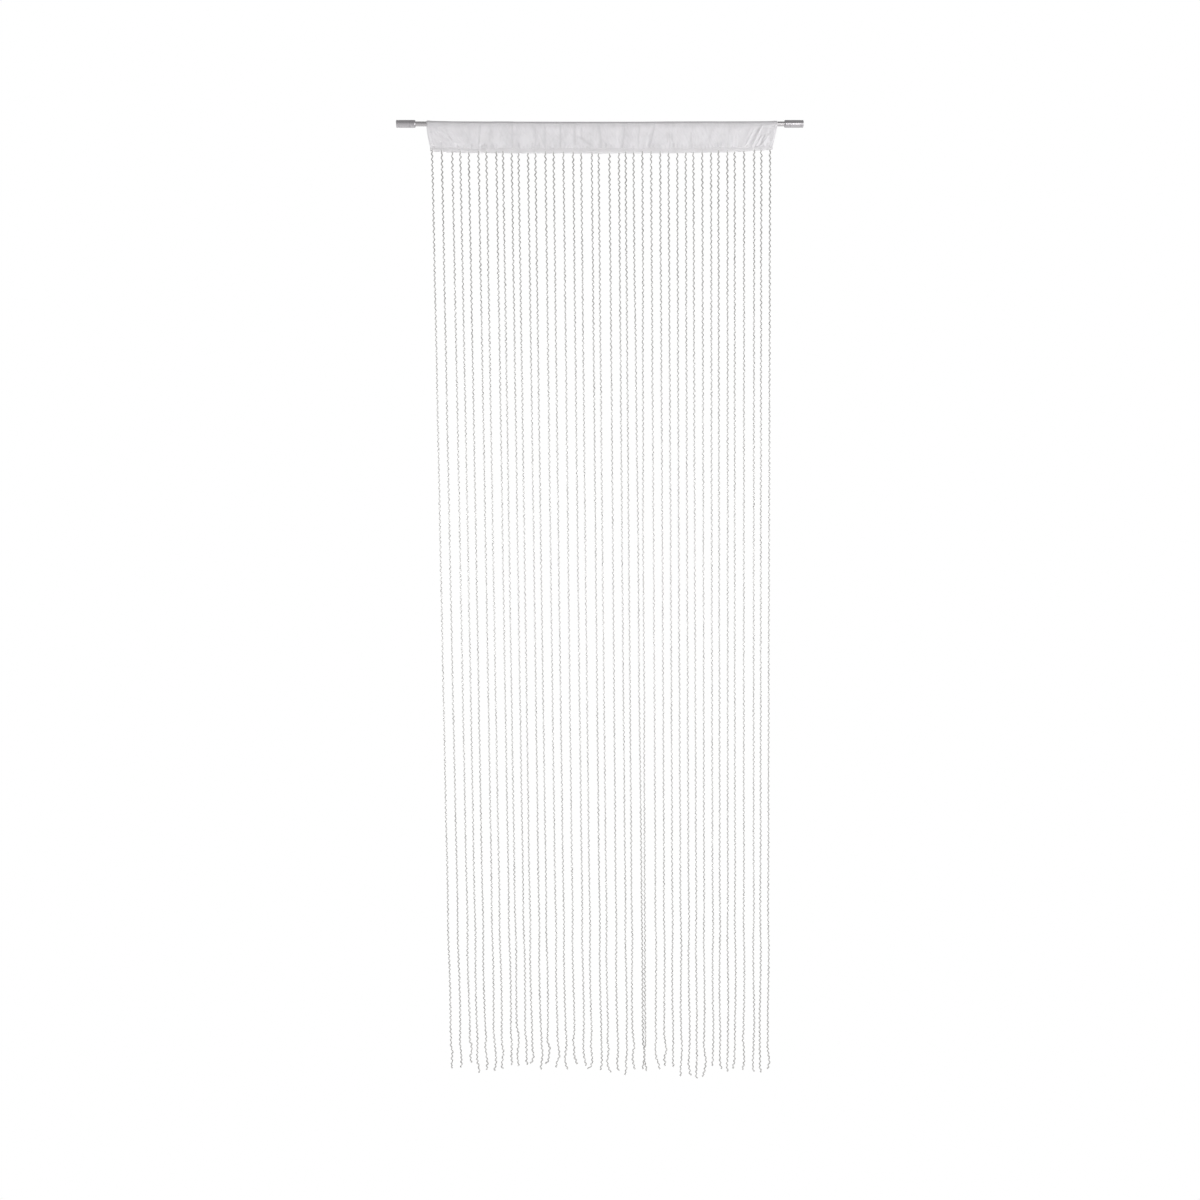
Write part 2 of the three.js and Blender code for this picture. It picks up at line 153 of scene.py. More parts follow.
KINKS_ABOVE = (90, 65, 45, 30, 18, 8, 0)
KINKS_BEGIN = 112
KINKS_BACK, KINKS_OF_OTHER = 0.6, 7
YARN_ENDS = (
    (-2471, 1, 0, 4, 2, 2, 0, 2), (-2469, 0, 0, 2, 3, 3, 3, 2), (-2457, 0, -1, 4, 4, 0, 2, 2),
    (-2485, 0, -1, -2, -2, 2, 3, 4), (-2477, 2, -1, 1, 3, 5, 3, 3), (-2480, 1, 2, 3, 3, 3, 0, -1),
    (-2475, 0, 1, 4, 2, 0, -2, 1), (-2468, 0, 2, 1, 0, 0, 1, 1), (-2471, 4, 3, 0, -1, 0, 1, 1),
    (-2468, 0, 3, 2, 2, 2, 1, 5), (-2461, 0, 0, 0, 1, 4, 1, -4), (-2481, 1, 1, 4, 2, 1, -1, -1),
    (-2468, 0, -1, 5, 3, 2, 0, -7), (-2477, -1, 1, 4, 5, -1, -4, -3), (-2482, 2, 3, 1, -1, 0, 3, 6),
    (-2470, 0, -3, 0, -1, 1, 5, 7), (-2474, 0, 0, 0, 1, 3, 5, 7), (-2484, 0, -1, 1, 3, 3, 0, -8),
    (-2489, 0, 1, 2, 2, 2, 1, -3), (-2494, -1, 3, 2, -1, 1, 4, 8), (-2491, 1, 1, 1, -1, -1, 0, 2),
    (-2503, 1, 2, 0, -2, 0, -3, -4), (-2489, 1, 4, 0, -1, 1, 3, 5), (-2490, 0, 0, 0, 0, 0, 0, 0),
    (-2493, 0, 0, 0, 0, 0, 0, 0), (-2490, 0, -3, -3, -1, 4, 6, 7), (-2483, -1, 1, 4, -1, -3, 0, -1),
    (-2484, 0, 0, -1, 0, -1, 0, 0), (-2510, 1, 1, 0, -1, -3, -2, -2),
    (-2509, 0, 0, -1, -2, 1, 1, 4), (-2520, 1, 2, 1, 0, 0, -1, 1), (-2515, -1, 1, 4, 2, 0, -3, -5),
    (-2485, 0, 0, 0, 0, 0, -1, -3), (-2495, 0, 0, 0, 0, 1, 2, 6), (-2503, 0, 0, -1, -2, -3, -2, -2),
    (-2495, 0, 0, -1, -1, -2, -5, -6), (-2500, -2, 0, 0, 1, 0, -2, -4),
    (-2506, 0, 0, 0, -1, 0, -1, 2), (-2507, 0, -1, 0, 0, -1, 0, 3), (-2498, 0, -2, 0, 2, 3, 0, -2),
)

# Two neighbours cling together lower down: how far each leans to the other, and
# how far apart they stay where one lies in front

CLING_LEFT, CLING_RIGHT, CLING_APART = 23, 24, 2.6
CLING_LOOSE = (0.3, 0.2)
CLING_ROWS = (
    (-2492, 5.6), (-2456, 12.2), (-2434, 11.8), (-2420, 8.4), (-2265, 8.0), (-2030, 7.5),
    (-1799, 6.6), (-1637, 6.0), (-1476, 4.6), (-1316, 5.0), (-1001, 5.0), (-846, 3.4),
    (-692, 2.8), (-539, 2.3), (-387, 0.4), (-80, 0.0),
)

# Each use of a repeatable random number has its own row of them

USES = {
    "sway x": 1, "sway y": 2, "pucker place": 6, "pucker lift": 7, "pucker height": 8,
    "pucker lean": 9, "wander": 10,
}


def lerp(low, high, share):
    return low + (high - low) * share


def smoothstep(value, low, high):
    share = np.clip((value - low) / (high - low), 0.0, 1.0)
    return share * share * (3.0 - 2.0 * share)


def scatter(index, use):
    """A repeatable number from -1 to 1 for each thing and each use of it."""
    wave = math.sin(index * 127.1 + USES[use] * 311.7) * 43758.5453
    return 2 * (wave - math.floor(wave)) - 1


def read_table(rows, place, column, soft=False):
    """One column of a table at a place, running evenly or softly from row to row."""
    table = np.array(rows, float)
    keys, values = table[:, 0], table[:, column]
    row = np.clip(np.searchsorted(keys, place) - 1, 0, len(keys) - 2)
    share = np.clip((place - keys[row]) / (keys[row + 1] - keys[row]), 0.0, 1.0)
    if soft:
        share = smoothstep(share, 0.0, 1.0)
    return lerp(values[row], values[row + 1], share)


def points_of(x, y, z):
    return np.stack([x, y, z], axis=-1)


def seam_at(x):
    return read_table(LOWER_EDGE, x, EDGE_SEAM)


def hem_at(x):
    return read_table(LOWER_EDGE, x, EDGE_HEM)


# Settings that a user would change


def length(name, description, default):
    return bpy.props.FloatProperty(
        name=name, description=description, default=default, min=0.0, precision=5,
        subtype="DISTANCE", unit="LENGTH",
    )


def colour(name, description, default):
    return bpy.props.FloatVectorProperty(
        name=name, description=description, default=default, size=3, min=0.0, max=1.0, subtype="COLOR",
    )


class RodSettings(bpy.types.PropertyGroup):
    """Sizes and finish of the tube and its end caps."""

    rod_length: length("Rod length", "Length over both end caps", 1.030)
    tube_diameter: length("Tube diameter", "Outside diameter of the tube", 0.012)
    tube_wall: length("Tube wall", "Thickness of the tube's wall", 0.001)
    cap_length: length("Cap length", "Length of an end cap", 0.048)
    cap_diameter: length("Cap diameter", "Outside diameter of an end cap", 0.0188)
    cap_end_wall: length("Cap end wall", "Metal between a cap's flat end and its bore", 0.006)
    fit_gap: length("Fit gap", "Room between the tube and a cap", 0.0003)
    tube_colour: colour("Tube colour", "Metal of the tube", (0.66, 0.64, 0.65))
    cap_colour: colour("Cap colour", "Metal of the end caps", (0.62, 0.60, 0.62))


class HeaderSettings(bpy.types.PropertyGroup):
    """Sizes and finish of the folded cloth."""

    cloth: length("Cloth", "Thickness of the cloth", 0.0005)
    wrap_radius: length("Wrap radius", "Outer face of the cloth over the tube", 0.0066)
    seam_half: length("Seam half", "From the middle of the seam to a ply's outer face", 0.0012)
    column_pitch: length("Column pitch", "Width of one column of faces", 0.0018)
    fan: length("Fan", "Width of the creased stretch at each side", 0.084)
    side_hem: length("Side hem", "Width of the turned hem at each side", 0.009)
    cloth_colour: colour("Cloth colour", "Plain woven cloth", (0.855, 0.838, 0.86))


class BandSettings(bpy.types.PropertyGroup):
    """Sizes and finish of the woven band under the seam."""

    band_thickness: length("Band thickness", "Thickness of the woven band", 0.0018)
    tuck: length("Tuck", "How far the band reaches up between the plies", 0.0035)
    band_colour: colour("Band colour", "Woven band", (0.84, 0.825, 0.84))


class YarnSettings(bpy.types.PropertyGroup):
    """Sizes and finish of the hanging yarns."""

    radius: length("Yarn radius", "Half the thickness of a yarn", 0.0015)
    crimp_top: length("Crimp at the top", "Length of one wave near the band", 0.0138)
    crimp_foot: length("Crimp at the foot", "Length of one wave near the cut end", 0.0126)
    reach: length("Crimp reach", "Swing of a wave at both ends of a yarn", 0.0017)
    reach_middle: length("Crimp reach halfway", "Swing of a wave halfway down", 0.0013)
    twist: length("Ply twist", "Length of one turn of the plies", 0.0062)
    yarn_colour: colour("Yarn colour", "Off-white crimped yarn", (0.597, 0.587, 0.577))


class StitchSettings(bpy.types.PropertyGroup):
    """Sizes and finish of the sewing."""

    pitch: length("Stitch pitch", "From one stitch to the next", 0.0036)
    stitch: length("Stitch length", "Length of one stitch on the cloth", 0.0029)
    thread: length("Thread", "Thickness of the sewing thread", 0.00045)
    thread_colour: colour("Thread colour", "Sewing thread", (0.62, 0.60, 0.60))


class StageSettings(bpy.types.PropertyGroup):
    """The floor and the lights around the curtain."""

    floor_drop: length("Floor drop", "From the lowest yarn down to the floor", 0.07)
    floor_size: length("Floor size", "Side of the square floor", 16.0)


# Shared helpers for meshes and pieces


def new_mesh(name, points, faces, sharp_degrees=None):
    """A smooth closed mesh whose faces point outwards, from points in millimetres."""
    mesh = bpy.data.meshes.new(name)
    mesh.from_pydata([Vector(point) * MM for point in points], [], faces)
    work = bmesh.new()
    work.from_mesh(mesh)
    bmesh.ops.recalc_face_normals(work, faces=work.faces)
    work.to_mesh(mesh)
    work.free()
    mesh.shade_smooth()
    if sharp_degrees is not None:
        mesh.set_sharp_from_angle(angle=math.radians(sharp_degrees))
    return mesh


def mark_points(mesh, name, values):
    mesh.attributes.new(name, "FLOAT", "POINT").data.foreach_set("value", values)


def link_object(name, data):
    made = bpy.data.objects.new(name, data)
    bpy.context.scene.collection.objects.link(made)
    return made


def add_piece(name, mesh, material, slot, *nodes):
    """Puts a finished mesh in the scene as a piece that stands for CAD nodes."""
    mesh.name = name
    mesh.materials.clear()
    mesh.materials.append(material)
    piece = link_object(name, mesh)
    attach(piece, BODY)
    if nodes:
        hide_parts(*nodes)
    return piece


class Value:
    """What a node puts out. Arithmetic on it adds the nodes that work it out."""

    def __init__(self, nodes, socket):
        self.nodes, self.socket = nodes, socket

    def math(self, operation, *others):
        return self.nodes.math(operation, self, *others)

    def __add__(self, other):
        return self.math("ADD", other)

    def __sub__(self, other):
        return self.math("SUBTRACT", other)

    def __rsub__(self, other):
        return self.nodes.math("SUBTRACT", other, self)

    def __mul__(self, other):
        return self.math("MULTIPLY", other)

    def __truediv__(self, other):
        return self.math("DIVIDE", other)

    def __rtruediv__(self, other):
        return self.nodes.math("DIVIDE", other, self)

    def range(self, low, high, to_low, to_high, kind="SMOOTHSTEP"):
        inputs = dict(enumerate((self, low, high, to_low, to_high)))
        return self.nodes.value("ShaderNodeMapRange", inputs, interpolation_type=kind)

    def spread(self, low, high):
        """Noise, which mostly lies from 0.3 to 0.7, brought to a range."""
        return self.range(0.3, 0.7, low, high)


class Nodes:
    """A node tree in the making, with short calls for its nodes and links."""

    def __init__(self, tree):
        self.tree = tree

    def fill(self, inputs, values):
        """Links or sets inputs, by their names or numbers."""
        for key, value in values.items():
            if isinstance(value, Value):
                self.tree.links.new(value.socket, inputs[key])
            else:
                inputs[key].default_value = value

    def add(self, kind, inputs=None, **settings):
        node = self.tree.nodes.new(kind)
        for key, value in settings.items():
            setattr(node, key, value)
        self.fill(node.inputs, inputs or {})
        return node

    def outputs(self, kind, inputs=None, **settings):
        made = self.add(kind, inputs, **settings).outputs
        return {socket.name: Value(self, socket) for socket in made}

    def value(self, kind, inputs=None, **settings):
        return Value(self, self.add(kind, inputs, **settings).outputs[0])

    def math(self, operation, *values):
        return self.value("ShaderNodeMath", dict(enumerate(values)), operation=operation)

    def stretched(self, place, stretch):
        return self.value("ShaderNodeVectorMath", {0: place, 1: stretch}, operation="MULTIPLY")

    def combine(self, x=0.0, y=0.0, z=0.0):
        return self.value("ShaderNodeCombineXYZ", {0: x, 1: y, 2: z})

    def separate(self, vector):
        return list(self.outputs("ShaderNodeSeparateXYZ", {0: vector}).values())

    def attribute(self, name, output="Fac"):
        return self.outputs("ShaderNodeAttribute", attribute_name=name)[output]

    def object_place(self):
        return self.outputs("ShaderNodeTexCoord")["Object"]

    def noise(self, place, scale=1.0, detail=2.0, **settings):
        inputs = {"Vector": place, "Scale": scale, "Detail": detail}
        return self.value("ShaderNodeTexNoise", inputs, **settings)

    def mix(self, share, low, high, blend="MIX"):
        node = self.add("ShaderNodeMix", data_type="RGBA", blend_type=blend)
        inputs = {socket.identifier: socket for socket in node.inputs}
        self.fill(inputs, {"Factor_Float": share, "A_Color": low, "B_Color": high})
        return Value(self, next(s for s in node.outputs if s.identifier == "Result_Color"))


FLOAT, VECTOR = "NodeSocketFloat", "NodeSocketVector"
GEOMETRY, MATERIAL = "NodeSocketGeometry", "NodeSocketMaterial"


def group_tree(name, kind, inputs, outputs):
    """A new node group. Each socket has a name, and a type or the default of a number."""
    tree = bpy.data.node_groups.new(name, kind)
    for side, sockets in (("INPUT", inputs), ("OUTPUT", outputs)):
        for label, given in sockets.items():
            numeric = isinstance(given, float)
            socket_type = FLOAT if numeric else given
            socket = tree.interface.new_socket(label, in_out=side, socket_type=socket_type)
            if numeric:
                socket.default_value = given
    nodes = Nodes(tree)
    return nodes, nodes.outputs("NodeGroupInput"), nodes.add("NodeGroupOutput").inputs


# Shader node groups that several materials share


def plain_weave(name):
    """Threads that pass over and under each other, on a cloth's own UV map."""
    inputs = {"Place": VECTOR, "Thread pitch": 0.0008, "Slubs": 0.4}
    outputs = {"Height": FLOAT, "Gap": FLOAT}
    nodes, given, result = group_tree(name, "ShaderNodeTree", inputs, outputs)
    turns = {0: given["Place"], "Scale": math.pi / given["Thread pitch"]}
    across, along, _ = nodes.separate(nodes.value("ShaderNodeVectorMath", turns, operation="SCALE"))
    wave_a, wave_b = across.math("SINE"), along.math("SINE")
    threads = wave_a.math("ABSOLUTE") + wave_b.math("ABSOLUTE")
    slubs = nodes.noise(nodes.stretched(given["Place"], (900.0, 90.0, 1.0)), detail=1.0)
    height = slubs * given["Slubs"] + (wave_a * wave_b * 0.3 + threads * 0.35)
    nodes.fill(result, {"Height": height, "Gap": threads.range(0.0, 0.7, 1.0, 0.0)})


def fibre_fuzz(name):
    """Loose fibres on yarn and cloth: a fine height and an uneven tone."""
    inputs = {"Place": VECTOR, "Fibre size": 0.0006, "Tone size": 0.02}
    outputs = {"Height": FLOAT, "Tone": FLOAT}
    nodes, given, result = group_tree(name, "ShaderNodeTree", inputs, outputs)
    for label, size in (("Height", "Fibre size"), ("Tone", "Tone size")):
        nodes.fill(result, {label: nodes.noise(given["Place"], 1.0 / given[size], 3.0)})


def tool_lines(name):
    """Fine tool lines in metal, drawn out along one direction of an object, and clouds."""
    inputs = {"Stretch": VECTOR, "Place": VECTOR}
    outputs = {"Lines": FLOAT, "Cloud": FLOAT}
    nodes, given, result = group_tree(name, "ShaderNodeTree", inputs, outputs)
    lines = nodes.noise(nodes.stretched(given["Place"], given["Stretch"]), detail=3.0)
    nodes.fill(result, {"Lines": lines, "Cloud": nodes.noise(given["Place"], 160.0, 2.0)})


SHARED_GROUPS = {"Plain weave": plain_weave, "Fibre fuzz": fibre_fuzz, "Tool lines": tool_lines}


def use_group(nodes, name, inputs):
    """Puts a shared group in a material, and builds it for the first one."""
    if name not in bpy.data.node_groups:
        SHARED_GROUPS[name](name)
    return nodes.outputs("ShaderNodeGroup", inputs, node_tree=bpy.data.node_groups[name])


# Materials


WHITE = (1.0, 1.0, 1.0, 1.0)


def new_material(name):
    material = bpy.data.materials.new(name)
    material.use_nodes = True
    return material, Nodes(material.node_tree)


def finish_material(material, nodes, values):
    nodes.fill(material.node_tree.nodes["Principled BSDF"].inputs, values)
    return material


def darker(base, share):
    return (*(share * part for part in base), 1.0)


def toned(nodes, base, tone, low, high):
    """A base colour that an uneven tone makes a little darker or lighter."""
    shade = tone.spread(low, high)
    grey = nodes.value("ShaderNodeCombineColor", {0: shade, 1: shade, 2: shade})
    return nodes.mix(1.0, (*base, 1.0), grey, blend="MULTIPLY")


def bumped(nodes, height, distance, strength, under=None):
    inputs = {"Height": height, "Distance": distance, "Strength": strength}
    if under is not None:
        inputs["Normal"] = under
    return nodes.value("ShaderNodeBump", inputs)


CLOTH_TONE, CLOTH_ROUGH = (0.97, 1.02), (0.82, 0.95)
# Painted shade: a darker band where the cloth lies over the rod, and darker hollows in the creases
PAINTED_ROD_SHADE_HEIGHTS = (-0.020, 0.004)
ROD_PAINTED_DARKNESS, GAP_SHADE, HOLLOW_PAINTED_SHADE = 0.5, 0.72, 0.6
HOLLOW_SHARE, GAP_SHARE = 0.34, 0.35
WRINKLE_STRETCH, WRINKLE_DEPTH = (150.0, 60.0, 1.0), 0.0009


def cloth_material(name, base, pitch, weave_depth, painted_rod_shade=0.0):
    """Plain woven cloth, on its UV map in metres. Thin cloth over the rod also has a painted
    shade where the rod lies behind it, and painted shade in the hollows of its creases."""
    material, nodes = new_material(name)
    place = nodes.value("ShaderNodeUVMap", uv_map="cloth")
    weave = use_group(nodes, "Plain weave", {"Place": place, "Thread pitch": pitch})
    sizes = {"Place": place, "Fibre size": pitch * 0.7, "Tone size": 0.03}
    fuzz = use_group(nodes, "Fibre fuzz", sizes)
    dyed = toned(nodes, base, fuzz["Tone"], *CLOTH_TONE)
    dyed = nodes.mix(weave["Gap"] * GAP_SHARE, dyed, darker(base, GAP_SHADE))
    if painted_rod_shade:
        # Painted shade: the cloth is darker in the hollows of its creases
        dyed = nodes.mix(nodes.attribute("hollow") * HOLLOW_SHARE, dyed, darker(base, HOLLOW_PAINTED_SHADE))
        # Painted shade: the cloth is darker where it lies over the rod
        height = nodes.separate(nodes.object_place())[2]
        shade = height.range(*PAINTED_ROD_SHADE_HEIGHTS, 0.0, painted_rod_shade, kind="SMOOTHERSTEP")
        dyed = nodes.mix(shade, dyed, darker(base, ROD_PAINTED_DARKNESS))
    normal = bumped(nodes, nodes.noise(nodes.stretched(place, WRINKLE_STRETCH)), WRINKLE_DEPTH, 0.6)
    normal = bumped(nodes, weave["Height"], weave_depth, 0.6, normal)
    return finish_material(material, nodes, {
        "Base Color": dyed, "Roughness": fuzz["Height"].spread(*CLOTH_ROUGH),
        "Normal": bumped(nodes, fuzz["Height"], weave_depth * 0.5, 0.4, normal),
        "Sheen Weight": 0.1, "Sheen Roughness": 0.6, "Specular IOR Level": 0.25,
    })


YARN_TONE, YARN_ROUGH, SHARED_TONE, OWN_TONE = (0.93, 1.05), (0.88, 0.98), 0.7, 0.3
PLIES, GROOVE_SHARE, GROOVE_SHADE, GROOVE_WIDE = 3.0, 0.55, 0.6, -0.2
PLY_DEPTH = FIBRE_DEPTH = 0.0003


def yarn_material(settings):
    """Plied yarn: grooves between its plies, fibres, and a tone of its own for each yarn."""
    material, nodes = new_material("Crimped yarn")
    base = settings.yarn_colour
    ring = nodes.separate(nodes.attribute("ring", "Vector"))
    turn = nodes.attribute("along") * (2 * math.pi / settings.twist)
    ply = (ring[1].math("ARCTAN2", ring[0]) * PLIES + turn).math("COSINE")
    sizes = {"Place": nodes.object_place(), "Fibre size": 0.0007, "Tone size": 0.025}
    fuzz = use_group(nodes, "Fibre fuzz", sizes)
    number = {"W": nodes.attribute("number")}
    own = nodes.value("ShaderNodeTexWhiteNoise", number, noise_dimensions="1D")
    dyed = toned(nodes, base, fuzz["Tone"] * SHARED_TONE + own * OWN_TONE, *YARN_TONE)
    groove = ply.range(-1.0, GROOVE_WIDE, GROOVE_SHARE, 0.0)
    normal = bumped(nodes, ply, PLY_DEPTH, 0.8)
    return finish_material(material, nodes, {
        "Base Color": nodes.mix(groove, dyed, darker(base, GROOVE_SHADE)),
        "Roughness": fuzz["Height"].spread(*YARN_ROUGH),
        "Normal": bumped(nodes, fuzz["Height"], FIBRE_DEPTH, 0.6, normal),
        "Sheen Weight": 0.2, "Sheen Roughness": 0.7, "Specular IOR Level": 0.2,
    })


THREAD_TONE, THREAD_ROUGH = (0.92, 1.04), (0.55, 0.75)


def thread_material(base):
    material, nodes = new_material("Sewing thread")
    sizes = {"Place": nodes.object_place(), "Fibre size": 0.0003, "Tone size": 0.01}
    fuzz = use_group(nodes, "Fibre fuzz", sizes)
    return finish_material(material, nodes, {
        "Base Color": toned(nodes, base, fuzz["Tone"], *THREAD_TONE),
        "Roughness": fuzz["Height"].spread(*THREAD_ROUGH),
        "Normal": bumped(nodes, fuzz["Height"], 0.0001, 0.6),
    })


TUBE_LINES, CAP_LINES = (6.0, 1400.0, 1400.0), (2600.0, 9.0, 9.0)
TUBE_TONE, CAP_TONE = (0.92, 1.04), (0.96, 1.03)
TUBE_ROUGH, CAP_ROUGH = (0.2, 0.29), (0.22, 0.27)


def tube_material(base):
    """Drawn tube: fine lines along it."""
    material, nodes = new_material("Satin tube")
    lines = use_group(nodes, "Tool lines", {"Stretch": TUBE_LINES, "Place": nodes.object_place()})
    return finish_material(material, nodes, {
        "Base Color": toned(nodes, base, lines["Lines"], *TUBE_TONE),
        "Roughness": lines["Lines"].spread(*TUBE_ROUGH), "Metallic": 1.0,
        "Normal": bumped(nodes, lines["Lines"], 0.000015, 0.4),
    })


COLLAR_SHADE, COLLAR_CLOUDS, COLLAR_DULL, GROOVE_DULL = 0.74, 0.35, 0.02, 0.12
COLLAR_BLUR, GROOVE_BLUR, CLOUD_EDGES = 0.0002, 0.0003, (0.35, 0.65)


def cap_material(base, collar_inside, groove):
    """Turned cap: fine lines around it, a cloudy duller collar at its mouth, and a dull groove."""
    material, nodes = new_material("Satin cap")
    place = nodes.object_place()
    lines = use_group(nodes, "Tool lines", {"Stretch": CAP_LINES, "Place": place})
    reach = nodes.separate(place)[0].math("ABSOLUTE")
    collar = reach.range(collar_inside - COLLAR_BLUR, collar_inside + COLLAR_BLUR, 1.0, 0.0)
    clouds = lines["Cloud"].range(*CLOUD_EDGES, 0.0, 1.0) * collar
    plain = toned(nodes, base, lines["Lines"], *CAP_TONE)
    satin = clouds * COLLAR_DULL + lines["Lines"].spread(*CAP_ROUGH)
    half = (groove[1] - groove[0]) / 2
    off_groove = (reach - sum(groove) / 2).math("ABSOLUTE")
    in_groove = off_groove.range(half, half + GROOVE_BLUR, 1.0, 0.0)
    return finish_material(material, nodes, {
        "Base Color": nodes.mix(clouds * COLLAR_CLOUDS, plain, darker(base, COLLAR_SHADE)),
        "Roughness": in_groove * GROOVE_DULL + satin, "Metallic": 1.0,
        "Normal": bumped(nodes, lines["Lines"], 0.000012, 0.5),
    })


# The rod


CORNER_SHARE, LONG_ENOUGH = 0.45, 0.25


def eased_corners(profile, radius, steps=3):
    """A profile whose inner corners are rounded off by up to a radius."""
    eased = [profile[0]]
    for before, corner, after in zip(profile, profile[1:], profile[2:]):
        before, corner, after = (np.array(point, float) for point in (before, corner, after))
        back, ahead = before - corner, after - corner
        sides = (np.linalg.norm(back), np.linalg.norm(ahead))
        cut = min(radius, CORNER_SHARE * min(sides))
        start, end = corner + back / sides[0] * cut, corner + ahead / sides[1] * cut
        for step in range(steps + 1):
            share = step / steps
            eased.append(tuple(lerp(lerp(start, corner, share), lerp(corner, end, share), share)))
    return eased + [profile[-1]]


def held_flat(profile, margin):
    """Adds points close to both ends of each long straight, so that smooth shading keeps it flat."""
    held = [profile[0]]
    for start, end in zip(profile, profile[1:]):
        start, end = np.array(start), np.array(end)
        share = margin / np.linalg.norm(end - start)
        if share < LONG_ENOUGH:
            held += [tuple(lerp(start, end, share)), tuple(lerp(end, start, share))]
        held.append(tuple(end))
    return held


def turned_mesh(name, profile, sides, flip=1):
    """Turns a profile of (place along X, radius) about the X axis. Radius 0 is a pole."""
    points, faces, rings = [], [], []
    for along, radius in profile:
        start = len(points)
        if radius < 1e-9:
            points.append((flip * along, 0.0, 0.0))
            rings.append([start] * sides)
            continue
        for side in range(sides):
            angle = 2 * math.pi * side / sides
            points.append((flip * along, radius * math.cos(angle), radius * math.sin(angle)))
        rings.append(list(range(start, start + sides)))
    if profile[0] == profile[-1]:
        rings[-1] = rings[0]
        points = points[:-sides]
    for low, high in zip(rings, rings[1:]):
        for side in range(sides):
            face = [low[side], low[side - 1], high[side - 1], high[side]]
            faces.append(tuple(dict.fromkeys(face)))
    return new_mesh(name, points, faces, sharp_degrees=60)


TUBE_SIDES = 64
TUBE_STEPS = 24
CAP_SIDES = 96
SAG, SAG_HALF = 1.4, 467.0


def rod_sag(x):
    """How far the loaded rod hangs down between its caps, in millimetres."""
    return SAG * np.clip(1 - (x / SAG_HALF) ** 2, 0, None)


class BuildRod(bpy.types.Operator):
    """Turns the tube that carries the curtain"""

    bl_idname = "string_curtain.build_rod"
    bl_label = "Build rod"

    def execute(self, context):
        size = context.scene.curtain_rod
        outer = size.tube_diameter / 2 / MM
        inner = outer - size.tube_wall / MM
        half = (size.rod_length / 2 - size.cap_end_wall - size.fit_gap) / MM
        edge = 0.15
        steps = np.linspace(-half + edge, half - edge, TUBE_STEPS + 1)
        profile = [(x, outer) for x in steps] + [(half, outer - edge), (half, inner + edge)]
        profile += [(x, inner) for x in reversed(steps)] + [(-half, inner + edge), (-half, outer - edge)]
        mesh = turned_mesh("rod_tube", profile + profile[:1], TUBE_SIDES)
        for point in mesh.vertices:
            point.co.z -= rod_sag(point.co.x / MM) * MM
        add_piece("rod_tube", mesh, tube_material(size.tube_colour), "rod_metal", "rod")
        return {"FINISHED"}


class BuildCaps(bpy.types.Operator):
    """Turns the two caps that close the tube"""

    bl_idname = "string_curtain.build_caps"
    bl_label = "Build end caps"

    # Grooves from the flat end on: start, end, depth and slope, in millimetres
    grooves = ((4.4, 6.8, 0.5, 0.4), (32.6, 33.6, 0.35, 0.2))
    rim_length, rim_height, rim_slope, rim_fall = 2.4, 0.25, 0.3, 1.1
    edge, corner_radius, flat_margin = 0.8, 0.35, 0.3

    def execute(self, context):
        size = context.scene.curtain_rod
        end = size.rod_length / 2
        groove = (end - self.grooves[0][1] * MM, end - self.grooves[0][0] * MM)
        material = cap_material(size.cap_colour, end - self.grooves[-1][0] * MM, groove)
        for name, node, side in (("cap_left", "left_cap", -1), ("cap_right", "right_cap", 1)):
            mesh = turned_mesh(name, self.profile(size), CAP_SIDES, flip=side)
            add_piece(name, mesh, material, "cap_metal", node)
        return {"FINISHED"}

    def profile(self, size):
        radius, full = size.cap_diameter / 2 / MM, size.cap_length / MM
        bore = size.tube_diameter / 2 / MM + size.fit_gap / MM
        wall = size.cap_end_wall / MM
        depths = [(0, 0), (0, radius - self.edge), (self.edge, radius)]
        for start, end, depth, slope in self.grooves:
            low = radius - depth
            depths += [(start, radius), (start + slope, low), (end - slope, low), (end, radius)]
        rim = full - self.rim_length
        depths += [(rim, radius), (rim + self.rim_slope, radius + self.rim_height)]
        depths += [(full, radius + self.rim_height - self.rim_fall)]
        depths += [(full, bore), (wall, bore), (wall, 0)]
        outer_end = size.rod_length / 2 / MM
        smooth = held_flat(eased_corners(depths, self.corner_radius), self.flat_margin)
        return [(outer_end - along, across) for along, across in smooth]


# The header

# Where the cloth stands off the tube: place along the rod, and by how much

LOOSE_WRAP = (
    (-439, 1.3), (-405, 0.6), (-372, 0.1), (-340, 0.0), (-280, 0.0), (-264, 0.3), (-224, 0.35),
    (-218, 0.0), (90, 0.0), (180, 0.5), (268, 0.5), (318, 0.2), (400, 0.15), (449, 0.6),
)


def header_columns(size):
    """Places of the columns of faces along the rod, closer together at the sides."""
    pitch, fan = size.column_pitch / MM, size.fan / MM
    sides = np.arange(0, fan, pitch / 2)
    left, right = HEADER_LEFT + fan, HEADER_RIGHT - fan
    middle = np.linspace(left, right, round((right - left) / pitch))
    return np.concatenate([HEADER_LEFT + sides, middle, (HEADER_RIGHT - sides)[::-1]])


FOLD_OPENS, FOLD_CLOSES, FOLD_HELD = 0.3, 0.75, 0.55
FOLD_BOW_LEFT, FOLD_BOW_RIGHT, FOLD_BOW_CHANGES = 1.7, 1.1, (-40, 40)
FRONT_SHARE, BACK_SHARE, FOOT_SHARE = 1.0, 0.6, 0.8


def fold_depth(share):
    flattened = (1 - FOLD_HELD) * smoothstep(share, FOLD_CLOSES, 1)
    return smoothstep(share, 0, FOLD_OPENS) * (1 - flattened)


def ply_shares(fine, fine_rows, rows):
    """Shares of the way from the rod to the seam, closer together near the seam."""
    coarse = np.linspace(0, 1 - fine, rows, endpoint=False)
    return np.concatenate([coarse, np.linspace(1 - fine, 1, fine_rows)])


PLY_FRONT = ply_shares(0.28, 15, 22)
PLY_BACK = ply_shares(0.24, 10, 14)
WRAP_ROWS = 14


